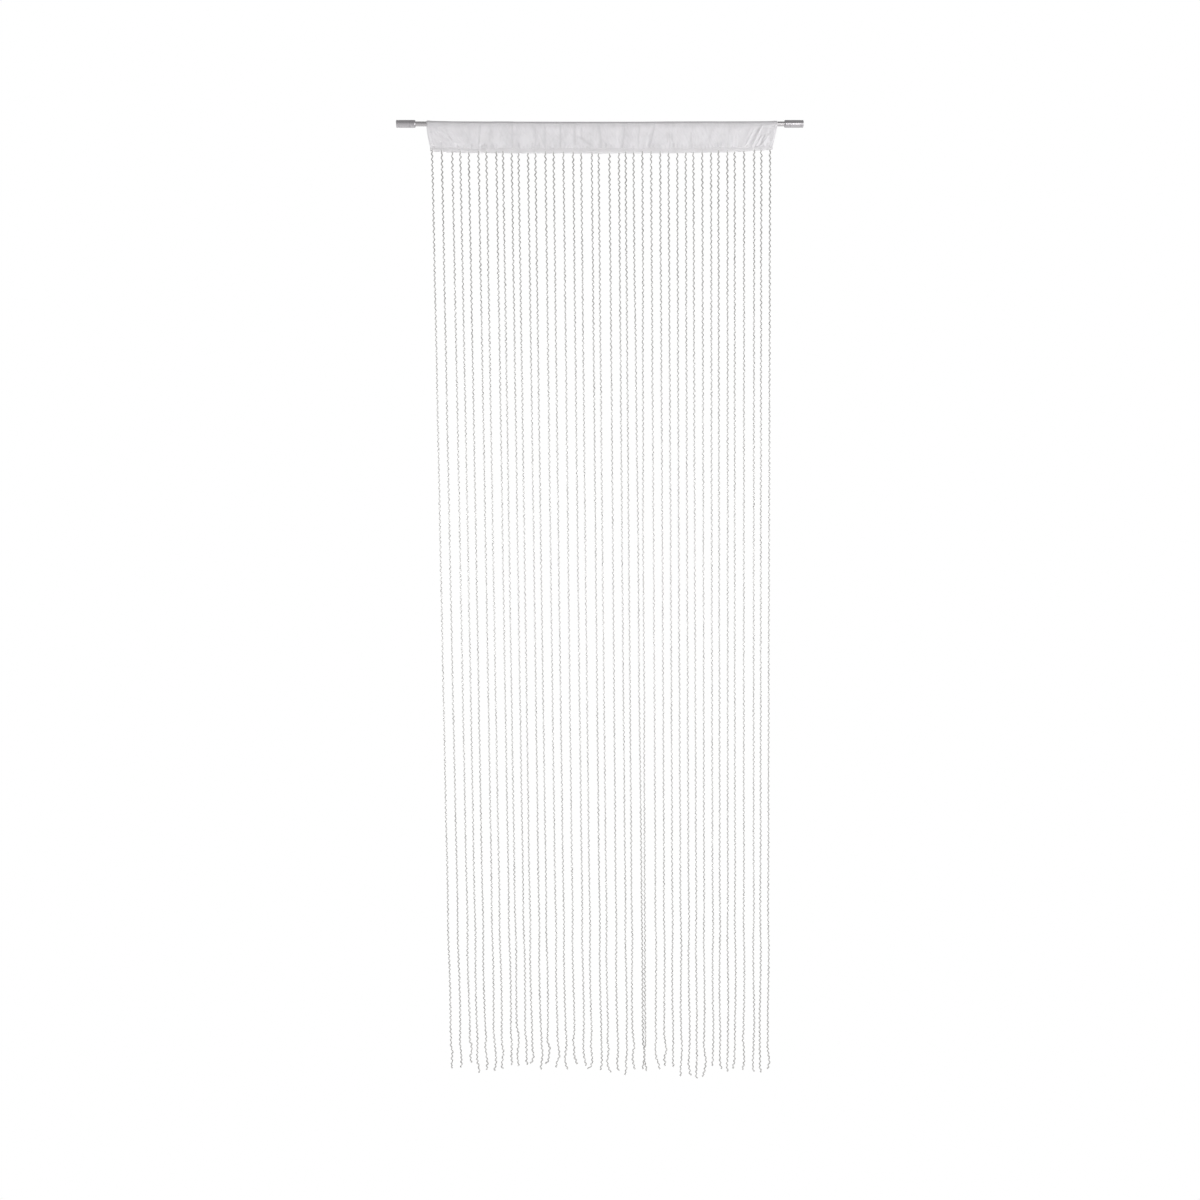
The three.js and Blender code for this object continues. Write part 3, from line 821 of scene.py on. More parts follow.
def folded_cloth(size, columns):
    """The outer face of the header's smooth folds, in millimetres: an array of
    points by column and by row, from the back seam over the tube to the front."""
    top = columns[:, None]
    foot = read_table(FOLDS, top, FOLD_FOOT)
    push = read_table(FOLDS, top, FOLD_PUSH, soft=True)
    seam = seam_at(foot)
    radius, half = size.wrap_radius / MM, size.seam_half / MM
    lean = np.arctan2(radius - half, -seam)
    bow = lerp(FOLD_BOW_LEFT, FOLD_BOW_RIGHT, smoothstep(top, *FOLD_BOW_CHANGES))
    sag = rod_sag(top)

    def ply(side, shares, own_share):
        share = shares[None, :]
        held = lerp(own_share, FOOT_SHARE, smoothstep(share, FOLD_CLOSES, 1))
        x = lerp(top, foot, share**bow)
        y = side * lerp(radius * np.cos(lean), half, share) + push * fold_depth(share) * held
        z = lerp(-radius * np.sin(lean) - sag, seam, share)
        return points_of(x, y, z)

    angle = lerp(-lean, math.pi + lean, np.linspace(0, 1, WRAP_ROWS + 2)[None, 1:-1])
    lift = read_table(LOOSE_WRAP, top, 1, soft=True) * np.clip(np.sin(angle), 0, None)
    over = radius * np.sin(angle) + lift - sag
    wrap = points_of(top + 0 * angle, radius * np.cos(angle), over)
    back = ply(1, PLY_BACK[::-1], BACK_SHARE)
    front = ply(-1, PLY_FRONT, FRONT_SHARE)
    return np.concatenate([back, wrap, front], axis=1)


CREASE_PRESS = 1.25
CREASE_BEGINS, CREASE_ENDS = (-0.12, 0.15), (0.85, 1.12)


def crease_height(rows, x, z):
    """How far creases lift the cloth at each place, from rows like those of CREASES."""
    height = np.zeros_like(x)
    for x_top, z_top, x_foot, z_foot, lift, left, right in rows:
        share = (z_top - z) / (z_top - z_foot)
        slant = math.hypot(x_foot - x_top, z_foot - z_top) / (z_top - z_foot)
        aside = (x - lerp(x_top, x_foot, share)) / slant
        flank = np.where(aside < 0, left, right)
        fade = smoothstep(share, *CREASE_BEGINS) * (1 - smoothstep(share, *CREASE_ENDS))
        height += CREASE_PRESS * lift * fade * np.exp(-((aside / flank) ** 2))
    return height


def puckers(first_index):
    """Rows for the small creases above the seam, at a seeded pitch and depth."""
    rows = []
    for index in range(int((HEADER_RIGHT - HEADER_LEFT) / PUCKER_PITCH)):
        key = index + first_index
        even = FOLDS[0][FOLD_FOOT] + PUCKER_FIRST + index * PUCKER_PITCH
        x = even + PUCKER_SHIFT * scatter(key, "pucker place")
        seam = float(seam_at(x))
        tall = PUCKER_TALL[0] + PUCKER_TALL[1] * scatter(key, "pucker height")
        lift = PUCKER_LIFT[0] + PUCKER_LIFT[1] * scatter(key, "pucker lift")
        top = (x + PUCKER_LEAN * scatter(key, "pucker lean"), seam + PUCKER_ABOVE + tall)
        rows.append((*top, x, seam - PUCKER_BELOW, lift, *PUCKER_FLANKS))
    return rows


SEAM_RISE = 2.2
SEAM_GROOVE = (0.55, 1.1)
SEAM_UNEVEN = (6.0, 0.6)
SEAM_HOLDS, SEAM_LETS_GO = 0.45, 3.0
HEM_LIFT, HEM_SLOPE = 0.45, 0.8
EDGE_ROLL, EDGE_ROLL_WIDE = 1.3, 2.3
SOFTNESS, LIMP_TALL = ((38.0, 0.45), (14.0, 0.22)), 0.45
CRINKLES = ((0.45, 8.0, 26.0, 0.42), (-0.32, 9.5, 30.0, 0.38))
CRINKLE_EDGE = 4.5
CRINKLE_CALM = (60.0, 100.0, 0.15)
BACK_SEED = 500
FRONT_BEGINS = (-1.5, 1.5)
OVER_TUBE, RELIEF_OVER_TUBE = (-13.0, -5.0), 0.5
HOLLOW_FULL = 1.2


def noise_over(points, place):
    """Noise at each point of a grid, read at the place that its x and z give."""
    values = [noise.noise(Vector(place(x, z))) for x, _, z in points.reshape(-1, 3)]
    return np.array(values).reshape(points.shape[:2])


def softness(points, seed):
    """Slow unevenness of limp cloth, longer up and down than across, in millimetres."""
    height = 0
    for size, depth in SOFTNESS:
        rows = noise_over(points, lambda x, z: (x / size + seed, 0.0, LIMP_TALL * z / size))
        height = height + depth * rows
    return height


def crinkles(points, seed):
    """Small soft creases that lean both ways, so that some of them cross in a V."""
    height = 0
    for lean, wide, tall, depth in CRINKLES:
        value = noise_over(points, lambda x, z: ((x + lean * z) / wide + seed, 9.0 * lean, z / tall))
        height = height - depth * np.clip(1.0 - CRINKLE_EDGE * abs(value), 0, None)
    return height


def from_sides(columns):
    return np.minimum(columns - columns[0], columns[-1] - columns)[:, None]


def crinkle_share(columns):
    """The pulled cloth of the fans at both sides has fewer crinkles than the rest."""
    start, end, calm = CRINKLE_CALM
    return lerp(calm, 1.0, smoothstep(from_sides(columns), start, end))


def cloth_relief(size, columns, points):
    """How far the cloth stands out of its smooth folds, the seam's part of that, and how
    hollow each place is, from 0 to 1."""
    x, y, z = points[..., 0], points[..., 1], points[..., 2]
    front = smoothstep(-y, *FRONT_BEGINS)
    rise = z - seam_at(x)
    depth, width = SEAM_GROOVE
    wave, share = SEAM_UNEVEN
    pull = [1 + share * noise.noise(Vector((place / wave, wave, 0.0))) for place in columns]
    groove = -depth * np.array(pull)[:, None] * np.exp(-(((rise - SEAM_RISE) / width) ** 2))
    on_front = crease_height((*CREASES, *STRONG_PUCKERS, *puckers(0)), x, z)
    on_front = on_front + softness(points, 0) + crinkles(points, 0) * crinkle_share(columns)
    on_back = crease_height(puckers(BACK_SEED), x, z)
    on_back = on_back + softness(points, BACK_SEED) + crinkles(points, BACK_SEED)
    relief = front * on_front + (1 - front) * on_back
    # How hollow each place is, which the cloth's colour uses for its painted shade
    hollow = np.clip(-relief / HOLLOW_FULL, 0, 1)
    free = 1 - smoothstep(z, *OVER_TUBE)
    relief = np.where(relief < 0, relief * free, relief * lerp(RELIEF_OVER_TUBE, 1.0, free))
    aside, turned = from_sides(columns), size.side_hem / MM
    hem = HEM_LIFT * (1 - smoothstep(aside, turned - HEM_SLOPE, turned + HEM_SLOPE))
    roll = -EDGE_ROLL * np.clip(1 - aside / EDGE_ROLL_WIDE, 0, 1) ** 2
    held = lerp(SEAM_HOLDS, 1.0, smoothstep(rise, 0.0, SEAM_LETS_GO))
    return (relief + roll) * held + groove + hem, groove, hollow


def surface_normals(points):
    across = np.gradient(points, axis=0)
    down = np.gradient(points, axis=1)
    normal = np.cross(down, across)
    return normal / np.linalg.norm(normal, axis=-1, keepdims=True)


def header_faces(size):
    """The header's outer and inner face, its normals and its hollows, as arrays."""
    columns = header_columns(size)
    base = folded_cloth(size, columns)
    normal = surface_normals(base)
    relief, groove, hollow = cloth_relief(size, columns, base)
    outer = base + normal * relief[..., None]
    inner = base + normal * (relief - groove - size.cloth / MM)[..., None]
    return outer, inner, normal, hollow


def grid_border(columns, rows):
    """Indices around a grid of columns and rows, once round."""
    foot = [(i, 0) for i in range(columns - 1)]
    right = [(columns - 1, j) for j in range(rows - 1)]
    front = [(i, rows - 1) for i in range(columns - 1, 0, -1)]
    left = [(0, j) for j in range(rows - 1, 0, -1)]
    return foot + right + front + left


RIM_ROUND = 0.25


def sheet_mesh(name, outer, inner, along, down):
    """A closed sheet between two grids of points, with a round rim and a UV map named cloth
    from its places along and down, in millimetres."""
    columns, rows = outer.shape[:2]
    count = columns * rows
    points = [*outer.reshape(-1, 3), *inner.reshape(-1, 3)]
    faces = []
    for i in range(columns - 1):
        for j in range(rows - 1):
            a, b, c, d = i * rows + j, (i + 1) * rows + j, (i + 1) * rows + j + 1, i * rows + j + 1
            faces += [(a, b, c, d), (count + d, count + c, count + b, count + a)]
    border = grid_border(columns, rows)
    for i, j in border:
        inward = np.array([np.clip(i, 1, columns - 2), np.clip(j, 1, rows - 2)])
        away = outer[i, j] - outer[inward[0], inward[1]]
        middle = (outer[i, j] + inner[i, j]) / 2
        points.append(middle + RIM_ROUND * away / np.linalg.norm(away))
    for step, (i, j) in enumerate(border):
        after = (step + 1) % len(border)
        next_i, next_j = border[after]
        a, b = i * rows + j, next_i * rows + next_j
        p, q = 2 * count + step, 2 * count + after
        faces += [(a, p, q, b), (p, count + a, count + b, q)]
    mesh = new_mesh(name, points, faces)
    corner = np.zeros(len(mesh.loops), np.int32)
    mesh.loops.foreach_get("vertex_index", corner)
    places = [(with_border(values) * MM)[corner] for values in (along, down)]
    mesh.uv_layers.new(name="cloth").data.foreach_set("uv", np.stack(places, axis=-1).ravel())
    return mesh


def with_border(values):
    """Values of a grid for both faces of its sheet and then for its rim."""
    rim = np.array([values[i, j] for i, j in grid_border(*values.shape)])
    return np.concatenate([values.ravel(), values.ravel(), rim])


HEADER_PIECE = "header_cloth"


class BuildHeader(bpy.types.Operator):
    """Folds the header's cloth over the tube"""

    bl_idname = "string_curtain.build_header"
    bl_label = "Build header"

    # Thread pitch and depth in metres, and how strong the painted shade over the rod is
    weave = (0.0009, 0.00007, 0.32)

    def execute(self, context):
        size = context.scene.curtain_header
        outer, inner, _, hollow = header_faces(size)
        steps = np.linalg.norm(np.diff(outer, axis=1), axis=-1).mean(axis=0)
        down = np.concatenate([[0], np.cumsum(steps)])
        along = header_columns(size)[:, None] + 0 * down[None, :]
        mesh = sheet_mesh(HEADER_PIECE, outer, inner, along, along * 0 + down)
        mark_points(mesh, "hollow", with_border(hollow))
        material = cloth_material("Header cloth", size.cloth_colour, *self.weave)
        add_piece(HEADER_PIECE, mesh, material, "header_cloth", "header")
        return {"FINISHED"}


# The woven band


def yarn_place(index):
    """Where a yarn leaves the band, in millimetres along X."""
    even = lerp(*YARN_SPAN, index / (YARN_COUNT - 1))
    drift = read_table(YARN_ROWS, index, YARN_DRIFT)
    pair = read_table(YARN_ROWS, index, YARN_PAIR)
    return float(even + drift + (1 if index % 2 else -1) * pair)


FEET = tuple((foot, push) for _, foot, push in FOLDS)


def band_middle(x):
    """How far the band's middle stands back, following the header's folds."""
    return read_table(FEET, x, 1, soft=True) * float(fold_depth(1.0)) * FOOT_SHARE


BAND_PITCH = 1.3
BAND_RIB = (1.5, 0.07)
BAND_GATHERS = ((3.1, 0.16), (7.5, 0.22))
ROOT_SWELL = (2.4, 0.5)
BAND_SHOWN_FROM, BAND_SHOWN_TO = (0.22, 0.3), (0.9, 1.0)


class BuildBand(bpy.types.Operator):
    """Weaves the narrow band that the yarns hang from"""

    bl_idname = "string_curtain.build_band"
    bl_label = "Build band"

    # Thread pitch and depth in metres
    weave = (0.0011, 0.00014)

    # From the tucked edge down to the hem: share of the way, share of the thickness
    section = (
        (0.0, 0.2), (0.12, 0.38), (0.24, 0.3), (0.34, 0.28), (0.40, 0.7), (0.46, 0.95), (0.56, 1.0),
        (0.70, 1.0), (0.84, 1.0), (0.94, 0.9), (0.985, 0.6), (1.0, 0.2),
    )

    def execute(self, context):
        size = context.scene.curtain_band
        first, last = FOLDS[0][FOLD_FOOT], FOLDS[-1][FOLD_FOOT]
        x = np.linspace(first, last, round((last - first) / BAND_PITCH))[:, None]
        share = np.array([row[0] for row in self.section])[None, :]
        thick = np.array([row[1] for row in self.section])[None, :] * size.band_thickness / MM / 2
        z = lerp(seam_at(x) + size.tuck / MM, hem_at(x), share)
        shown = smoothstep(share, *BAND_SHOWN_FROM) * (1 - smoothstep(share, *BAND_SHOWN_TO))
        thick = thick + shown * self.swell(x)
        rib, depth = BAND_RIB
        thick = thick + depth * shown * np.sin(2 * math.pi * z / rib)
        middle = band_middle(x)
        along = x + 0 * z
        front, back = points_of(along, middle - thick, z), points_of(along, middle + thick, z)
        mesh = sheet_mesh("woven_band", front, back, along, z)
        material = cloth_material("Woven band", size.band_colour, *self.weave)
        add_piece("woven_band", mesh, material, "yarn", "string_band")
        return {"FINISHED"}

    def swell(self, x):
        """The band is a little thicker where a yarn is woven in, and gathered between."""
        width, lift = ROOT_SWELL
        total = np.zeros_like(x)
        for index in range(YARN_COUNT):
            total += lift * np.exp(-(((x - yarn_place(index)) / width) ** 2))
        for wave, depth in BAND_GATHERS:
            for spot, place in zip(np.ndindex(x.shape), x.ravel()):
                total[spot] += depth * noise.noise(Vector((place / wave, wave, 0.0)))
        return total


# The yarns

YARN_ROOT = 5
PATH_STEP, END_STEP = 12, 4
SWAY_REACH, SWAY_WAVES_X, SWAY_WAVES_Y, SWAY_SETTLED = 0.9, 4.1, 3.3, 0.2
STRAY_STARTS, STRAY_ENDS = (0.72, 0.90), (0.95, 0.985)
STRAY_SETTLES, STRAY_SLOW, STRAY_QUICK = 0.8, (0.15, 1.0), (0.12, 0.3)
STRAY_WAVES_X, STRAY_WAVES_Y = (54, 15.5, 41), (61, 17)
YARNS_PER_PIECE = 8


def wander(index, drop, z):
    """How far a yarn strays to each side: hardly above, and more on the way to its end."""
    settled = 1 - STRAY_SETTLES * smoothstep(drop, *STRAY_ENDS)
    lower = smoothstep(drop, *STRAY_STARTS) * settled
    slow, quick = (least + more * lower for least, more in (STRAY_SLOW, STRAY_QUICK))
    key = math.pi * scatter(index, "wander")
    long_x, short_x, beat = (z / wave for wave in STRAY_WAVES_X)
    long_y, short_y = (z / wave for wave in STRAY_WAVES_Y)
    x = slow * np.sin(long_x + 3 * key) + quick * np.sin(short_x + 5 * key) * np.sin(beat + 2 * key)
    y = slow * np.sin(long_y + 4 * key) + quick * np.sin(short_y + 7 * key)
    return x, y


def kinks(index, above):
    """How far the yarn is kinked to the right, at a distance above its cut end."""
    strays = YARN_ENDS[index][1:]
    rows = (*reversed(tuple(zip(KINKS_ABOVE, strays))), (KINKS_BEGIN, 0))
    return read_table(rows, above, 1, soft=True)


def yarn_path(index):
    """The middle of a yarn from inside the band to its cut end, in millimetres."""
    root, end = yarn_place(index), YARN_ENDS[index][0]
    hem = float(hem_at(root))
    top, bend = hem + YARN_ROOT, end + KINKS_BEGIN
    straight = np.linspace(top, bend, round((top - bend) / PATH_STEP), endpoint=False)
    z = np.concatenate([straight, np.linspace(bend, end, round(KINKS_BEGIN / END_STEP))])
    drop = np.clip((hem - z) / (hem - end), 0, 1)
    sway = SWAY_REACH * drop * (1 - smoothstep(drop, *STRAY_ENDS))
    sway_x = sway * np.sin(SWAY_WAVES_X * drop + math.pi * scatter(index, "sway x"))
    sway_y = sway * np.sin(SWAY_WAVES_Y * drop + math.pi * scatter(index, "sway y"))
    stray_x, stray_y = wander(index, drop, z)
    x = root + sway_x + kinks(index, z - end) + stray_x
    y = band_middle(root) * (1 - smoothstep(drop, 0, SWAY_SETTLED)) + sway_y + stray_y
    y = y + KINKS_BACK * kinks((index + KINKS_OF_OTHER) % YARN_COUNT, z - end)
    if index in (CLING_LEFT, CLING_RIGHT):
        side = 1 if index == CLING_LEFT else -1
        lean = read_table(CLING_ROWS, z, 1)
        x = root + side * lean + CLING_LOOSE[0] * stray_x
        y = side * np.clip(lean, 0, CLING_APART) + CLING_LOOSE[1] * stray_y
    return points_of(x, y, z)


def resampled(nodes, given, spacing):
    """The paths as curves with points at an even spacing."""
    curves = nodes.value("GeometryNodeMeshToCurve", {0: given["Paths"]})
    inputs = {"Curve": curves, "Length": given[spacing]}
    return nodes.value("GeometryNodeResampleCurve", inputs, mode="LENGTH")


def store_attribute(nodes, geometry, name, value, data_type="FLOAT"):
    inputs = {"Geometry": geometry, "Name": name, "Value": value}
    settings = {"data_type": data_type, "domain": "POINT"}
    return nodes.value("GeometryNodeStoreNamedAttribute", inputs, **settings)


def finish_tree(nodes, given, result, geometry):
    """Ends a tree with real faces, smooth shading and the material."""
    whole = nodes.value("GeometryNodeRealizeInstances", {0: geometry})
    smooth = nodes.value("GeometryNodeSetShadeSmooth", {0: whole})
    inputs = {"Geometry": smooth, "Material": given["Material"]}
    nodes.fill(result, {0: nodes.value("GeometryNodeSetMaterial", inputs)})
    return nodes.tree


# What is uneven along a yarn: the length of a change in metres, its seed and its strength

UNEVEN = {
    "wave length": (0.045, 11.0, 0.16), "reach": (0.03, 3.0, 0.28), "plane": (0.075, 23.0, 1.0),
    "slubs": (0.011, 31.0, 0.14), "long slubs": (0.037, 43.0, 0.09),
}
OWN_SEED, OWN_PHASE = 7.31, 0.37
THIRD_WAVE, ROLL_SHARE = -0.1, 0.22
CRIMP_STARTS, PLANE_SETTLES = (0.003, 0.012, 0.0, 1.0), (0.0, 0.5, 0.7, 1.0)
CUT_FRAYS, FULLER_ENDS = (0.0, 0.007, 1.3, 1.0), 0.09
SECTION_SIDES, NOISE_GAIN = 6, 3.2


def crimped_yarn_tree():
    """Geometry nodes that crimp paths and sweep a round section along them."""
    inputs = {
        "Paths": GEOMETRY, "Yarn radius": 0.0015, "Ring spacing": 0.0017, "Material": MATERIAL,
        "Crimp at the top": 0.0137, "Crimp at the foot": 0.0119, "Crimp reach": 0.0019,
        "Crimp reach halfway": 0.0016,
    }
    outputs = {"Yarns": GEOMETRY}
    nodes, given, result = group_tree("Crimp and sweep", "GeometryNodeTree", inputs, outputs)
    rail = resampled(nodes, given, "Ring spacing")
    parameter = nodes.outputs("GeometryNodeSplineParameter")
    along, share = parameter["Length"], parameter["Factor"]
    left_over = nodes.value("GeometryNodeSplineLength") - along
    name = {"Name": "number"}
    number = nodes.value("GeometryNodeInputNamedAttribute", name, data_type="FLOAT")

    def uneven(use):
        """A slow random value along each yarn, to both sides of 0."""
        size, seed, strength = UNEVEN[use]
        place = nodes.combine(along / size, number * OWN_SEED + seed)
        value = nodes.noise(place, 1.0, 1.0, noise_dimensions="2D")
        return (value * NOISE_GAIN - NOISE_GAIN / 2) * strength

    # The waves shorten evenly on the way down, so their count grows with the square of the way
    per_top, per_foot = 1.0 / given["Crimp at the top"], 1.0 / given["Crimp at the foot"]
    waves = along * (per_top + (per_foot - per_top) * (share * 0.5))
    phase = (number * OWN_PHASE + (uneven("wave length") + waves)) * (2 * math.pi)
    wave = (phase * 3.0).math("SINE") * THIRD_WAVE + phase.math("SINE")
    from_middle = share * 2.0 - 1.0
    ends = from_middle * from_middle
    halfway = given["Crimp reach halfway"]
    reach = (given["Crimp reach"] - halfway) * ends + halfway
    reach = reach * (uneven("reach") + 1.0) * along.range(*CRIMP_STARTS)
    plane = uneven("plane") * along.range(*PLANE_SETTLES)
    cos_plane, sin_plane = plane.math("COSINE"), plane.math("SINE")
    swing, roll = reach * wave, reach * ROLL_SHARE * phase.math("COSINE")
    offset_x = swing * cos_plane - roll * sin_plane
    offset_y = swing * sin_plane + roll * cos_plane
    slub = uneven("long slubs") + (uneven("slubs") + 1.0)
    fuller = left_over.range(*CUT_FRAYS) * (ends * FULLER_ENDS + 1.0)
    thickness = given["Yarn radius"] * (slub * fuller)

    rail = store_attribute(nodes, rail, "along", along)
    moved = {"Geometry": rail, "Offset": nodes.combine(offset_x, offset_y)}
    rail = nodes.value("GeometryNodeSetPosition", moved)
    circle = {"Resolution": SECTION_SIDES, "Radius": 1.0}
    section = nodes.value("GeometryNodeCurvePrimitiveCircle", circle)
    here = nodes.value("GeometryNodeInputPosition")
    section = store_attribute(nodes, section, "ring", here, "FLOAT_VECTOR")
    swept = {"Curve": rail, "Profile Curve": section, "Fill Caps": True, "Scale": thickness}
    return finish_tree(nodes, given, result, nodes.value("GeometryNodeCurveToMesh", swept))


def path_object(name, paths, numbers):
    """An object of open lines in millimetres, one for each path, with its number on each point."""
    points, edges, marks = [], [], []
    for path, number in zip(paths, numbers):
        start = len(points)
        points += [Vector(point) * MM for point in path]
        edges += [(start + k, start + k + 1) for k in range(len(path) - 1)]
        marks += [float(number)] * len(path)
    mesh = bpy.data.meshes.new(name)
    mesh.from_pydata(points, edges, [])
    mark_points(mesh, "number", marks)
    return link_object(name, mesh)


def mesh_from_tree(source, tree, inputs):
    """Runs geometry nodes on an object, keeps the result as a plain mesh, and drops the object."""
    modifier = source.modifiers.new(tree.name, "NODES")
    modifier.node_group = tree
    for socket in tree.interface.items_tree:
        if socket.item_type == "SOCKET" and socket.name in inputs:
            modifier[socket.identifier] = inputs[socket.name]
    graph = bpy.context.evaluated_depsgraph_get()
    made = bpy.data.meshes.new_from_object(
        source.evaluated_get(graph), preserve_all_data_layers=True, depsgraph=graph,
    )
    source.modifiers.remove(modifier)
    bpy.data.objects.remove(source)
    if not made.polygons:
        raise RuntimeError(f"{tree.name} made no faces")
    return made


class BuildYarns(bpy.types.Operator):
    """Hangs the crimped yarns from the band"""

    bl_idname = "string_curtain.build_yarns"
    bl_label = "Build yarns"

    def execute(self, context):
        size = context.scene.curtain_yarn
        tree = crimped_yarn_tree()
        material = yarn_material(size)
        inputs = {
            "Yarn radius": size.radius, "Crimp at the top": size.crimp_top, "Material": material,
            "Crimp at the foot": size.crimp_foot, "Crimp reach": size.reach,
            "Crimp reach halfway": size.reach_middle,
        }
        for first in range(0, YARN_COUNT, YARNS_PER_PIECE):
            numbers = range(first, first + YARNS_PER_PIECE)
            paths = path_object("yarn paths", [yarn_path(index) for index in numbers], numbers)
            mesh = mesh_from_tree(paths, tree, inputs)
            add_piece(f"yarns_{first // YARNS_PER_PIECE + 1}", mesh, material, "yarn", "string_band")
        return {"FINISHED"}


# The sewing


def stitch_tree():
    """Geometry nodes that lay one stitch after the other along paths."""
    inputs = {
        "Paths": GEOMETRY, "Stitch pitch": 0.0036, "Stitch length": 0.0029, "Thread": 0.00045,
        "Material": MATERIAL,
    }
    outputs = {"Stitches": GEOMETRY}
    nodes, given, result = group_tree("Running stitch", "GeometryNodeTree", inputs, outputs)
    tangent = {"Vector": nodes.value("GeometryNodeInputTangent")}
    ball = {"Segments": 6, "Rings": 4, "Radius": 0.5}
    laid = {
        "Points": resampled(nodes, given, "Stitch pitch"),
        "Instance": nodes.value("GeometryNodeMeshUVSphere", ball),
        "Rotation": nodes.value("FunctionNodeAlignRotationToVector", tangent, axis="Z"),
        "Scale": nodes.combine(given["Thread"], given["Thread"], given["Stitch length"]),
    }
    stitches = nodes.value("GeometryNodeInstanceOnPoints", laid)
    return finish_tree(nodes, given, result, stitches)


THREAD_SUNK, HEM_MARGIN = 0.05, 1.5


def seam_lines(size):
    """Where the sewing runs on the cloth: along the seam and down the side hems, front and back."""
    outer, _, normal, _ = header_faces(size)
    face = outer + normal * THREAD_SUNK
    columns = header_columns(size)
    hem = size.side_hem / MM - HEM_MARGIN
    left = int(np.argmin(abs(columns - columns[0] - hem)))
    right = int(np.argmin(abs(columns[-1] - hem - columns)))
    lines = []
    for rows, foot in ((range(len(PLY_BACK)), 0), (range(-len(PLY_FRONT), 0), -1)):
        seam = seam_at(face[:, foot, 0])
        row = min(rows, key=lambda j: abs(float(np.mean(face[:, j, 2] - seam)) - SEAM_RISE))
        lines.append(face[2:-2, row])
        lines += [face[side, list(rows)] for side in (left, right)]
    return lines


class BuildStitches(bpy.types.Operator):
    """Sews the seam and the side hems"""

    bl_idname = "string_curtain.build_stitches"
    bl_label = "Build stitches"

    def execute(self, context):
        size = context.scene.curtain_stitch
        lines = seam_lines(context.scene.curtain_header)
        material = thread_material(size.thread_colour)
        inputs = {
            "Stitch pitch": size.pitch, "Stitch length": size.stitch, "Thread": size.thread,
            "Material": material,
        }
        paths = path_object("seam lines", lines, range(len(lines)))
        mesh = mesh_from_tree(paths, stitch_tree(), inputs)
        add_piece("stitches", mesh, material, "header_cloth")
        return {"FINISHED"}


# The header's mean length round the tube, worked out once all the pieces are there; nothing uses it


def declare_sheet():
    size = bpy.context.scene.curtain_header
    outer = header_faces(size)[0]
    round_the_tube = float(np.linalg.norm(np.diff(outer, axis=1), axis=-1).sum(axis=1).mean())


# The stage

CAMERA_PLACE = (-0.20027, -3.89353, -0.79457)
CAMERA_YAW, CAMERA_PITCH, CAMERA_ROLL = 2.73027, 6.08881, -0.57256
CAMERA_LENS, CAMERA_SENSOR = 45, 36


def camera_matrix():
    """Looks to the right by the yaw, down by the pitch, and leans by the roll."""
    yaw, pitch, roll = (math.radians(angle) for angle in (CAMERA_YAW, CAMERA_PITCH, CAMERA_ROLL))
    ahead = Vector((math.sin(yaw) * math.cos(pitch), math.cos(yaw) * math.cos(pitch), -math.sin(pitch)))
    right = Vector((math.cos(yaw), -math.sin(yaw), 0))
    up = right.cross(ahead)
    leaned_right = math.cos(roll) * right + math.sin(roll) * up
    leaned_up = math.cos(roll) * up - math.sin(roll) * right
    turn = Matrix((leaned_right, leaned_up, -ahead)).transposed().to_4x4()
    return Matrix.Translation(CAMERA_PLACE) @ turn


def add_light(name, place, target, size, power, mirrored):
    """A soft panel of light, hidden from the camera and, where asked, from the metal."""
    data = bpy.data.lights.new(name, "AREA")
    data.shape = "RECTANGLE"
    data.size, data.size_y = size
    data.energy = power
    light = link_object(name, data)
    light.visible_camera = False
    light.visible_glossy = mirrored
    aim = (Vector(target) - Vector(place)).to_track_quat("-Z", "Y")
    light.matrix_world = Matrix.Translation(place) @ aim.to_matrix().to_4x4()


# Name, place, what it faces, width and height, power, and whether metal mirrors it

LIGHTS = (
    ("key", (2.6, -2.0, -0.45), (0.1, 0.0, -0.5), (1.1, 0.9), 27, True),
    ("front", (-0.45, -0.9, -1.05), (-0.4, 0.0, -1.05), (2.4, 0.32), 11.9, False),
    ("foot", (0.0, -1.1, -2.2), (0.0, 0.0, -2.0), (1.8, 0.3), 5.5, False),
    ("stripe", (1.32, -4.8, -0.75), (0.49, 0.0, 0.0), (0.45, 4.0), 16.0, True),
)
MIRRORED_BELOW, MIRRORED_ABOVE = 0.72, 0.35
DULL_BELOW, DULL_ABOVE = 0.405, 0.375
WORLD_TURNS, WORLD_BEHIND = (-0.6, 0.7), 1.7
BEHIND_BEGINS, BEHIND_FADES = (0.1, 0.9), (0.2, 0.6)
FLOOR_COLOUR, FLOOR_GLOW, FLOOR_MIRRORED = (0.86, 0.86, 0.86), 0.13, 0.30


def studio_world():
    """White where the camera looks past the curtain. As a light it is brighter behind, and
    for metal that mirrors it, dim above and bright below."""
    world = bpy.data.worlds.new("Studio")
    world.use_nodes = True
    nodes = Nodes(world.node_tree)
    _, back, up = nodes.separate(nodes.outputs("ShaderNodeTexCoord")["Generated"])
    path = nodes.outputs("ShaderNodeLightPath")
    dull = up.range(*WORLD_TURNS, DULL_BELOW, DULL_ABOVE)
    mirrored = up.range(*WORLD_TURNS, MIRRORED_BELOW, MIRRORED_ABOVE)
    level = path["Is Glossy Ray"] * (mirrored - dull) + dull
    behind = back.range(*BEHIND_BEGINS, 0.0, 1.0) * up.range(*BEHIND_FADES, 1.0, 0.0)
    level = level * (behind * (WORLD_BEHIND - 1.0) + 1.0)
    strength = path["Is Camera Ray"] * (1.0 - level) + level
    background = world.node_tree.nodes["Background"].inputs
    nodes.fill(background, {"Color": WHITE, "Strength": strength})
    bpy.context.scene.world = world


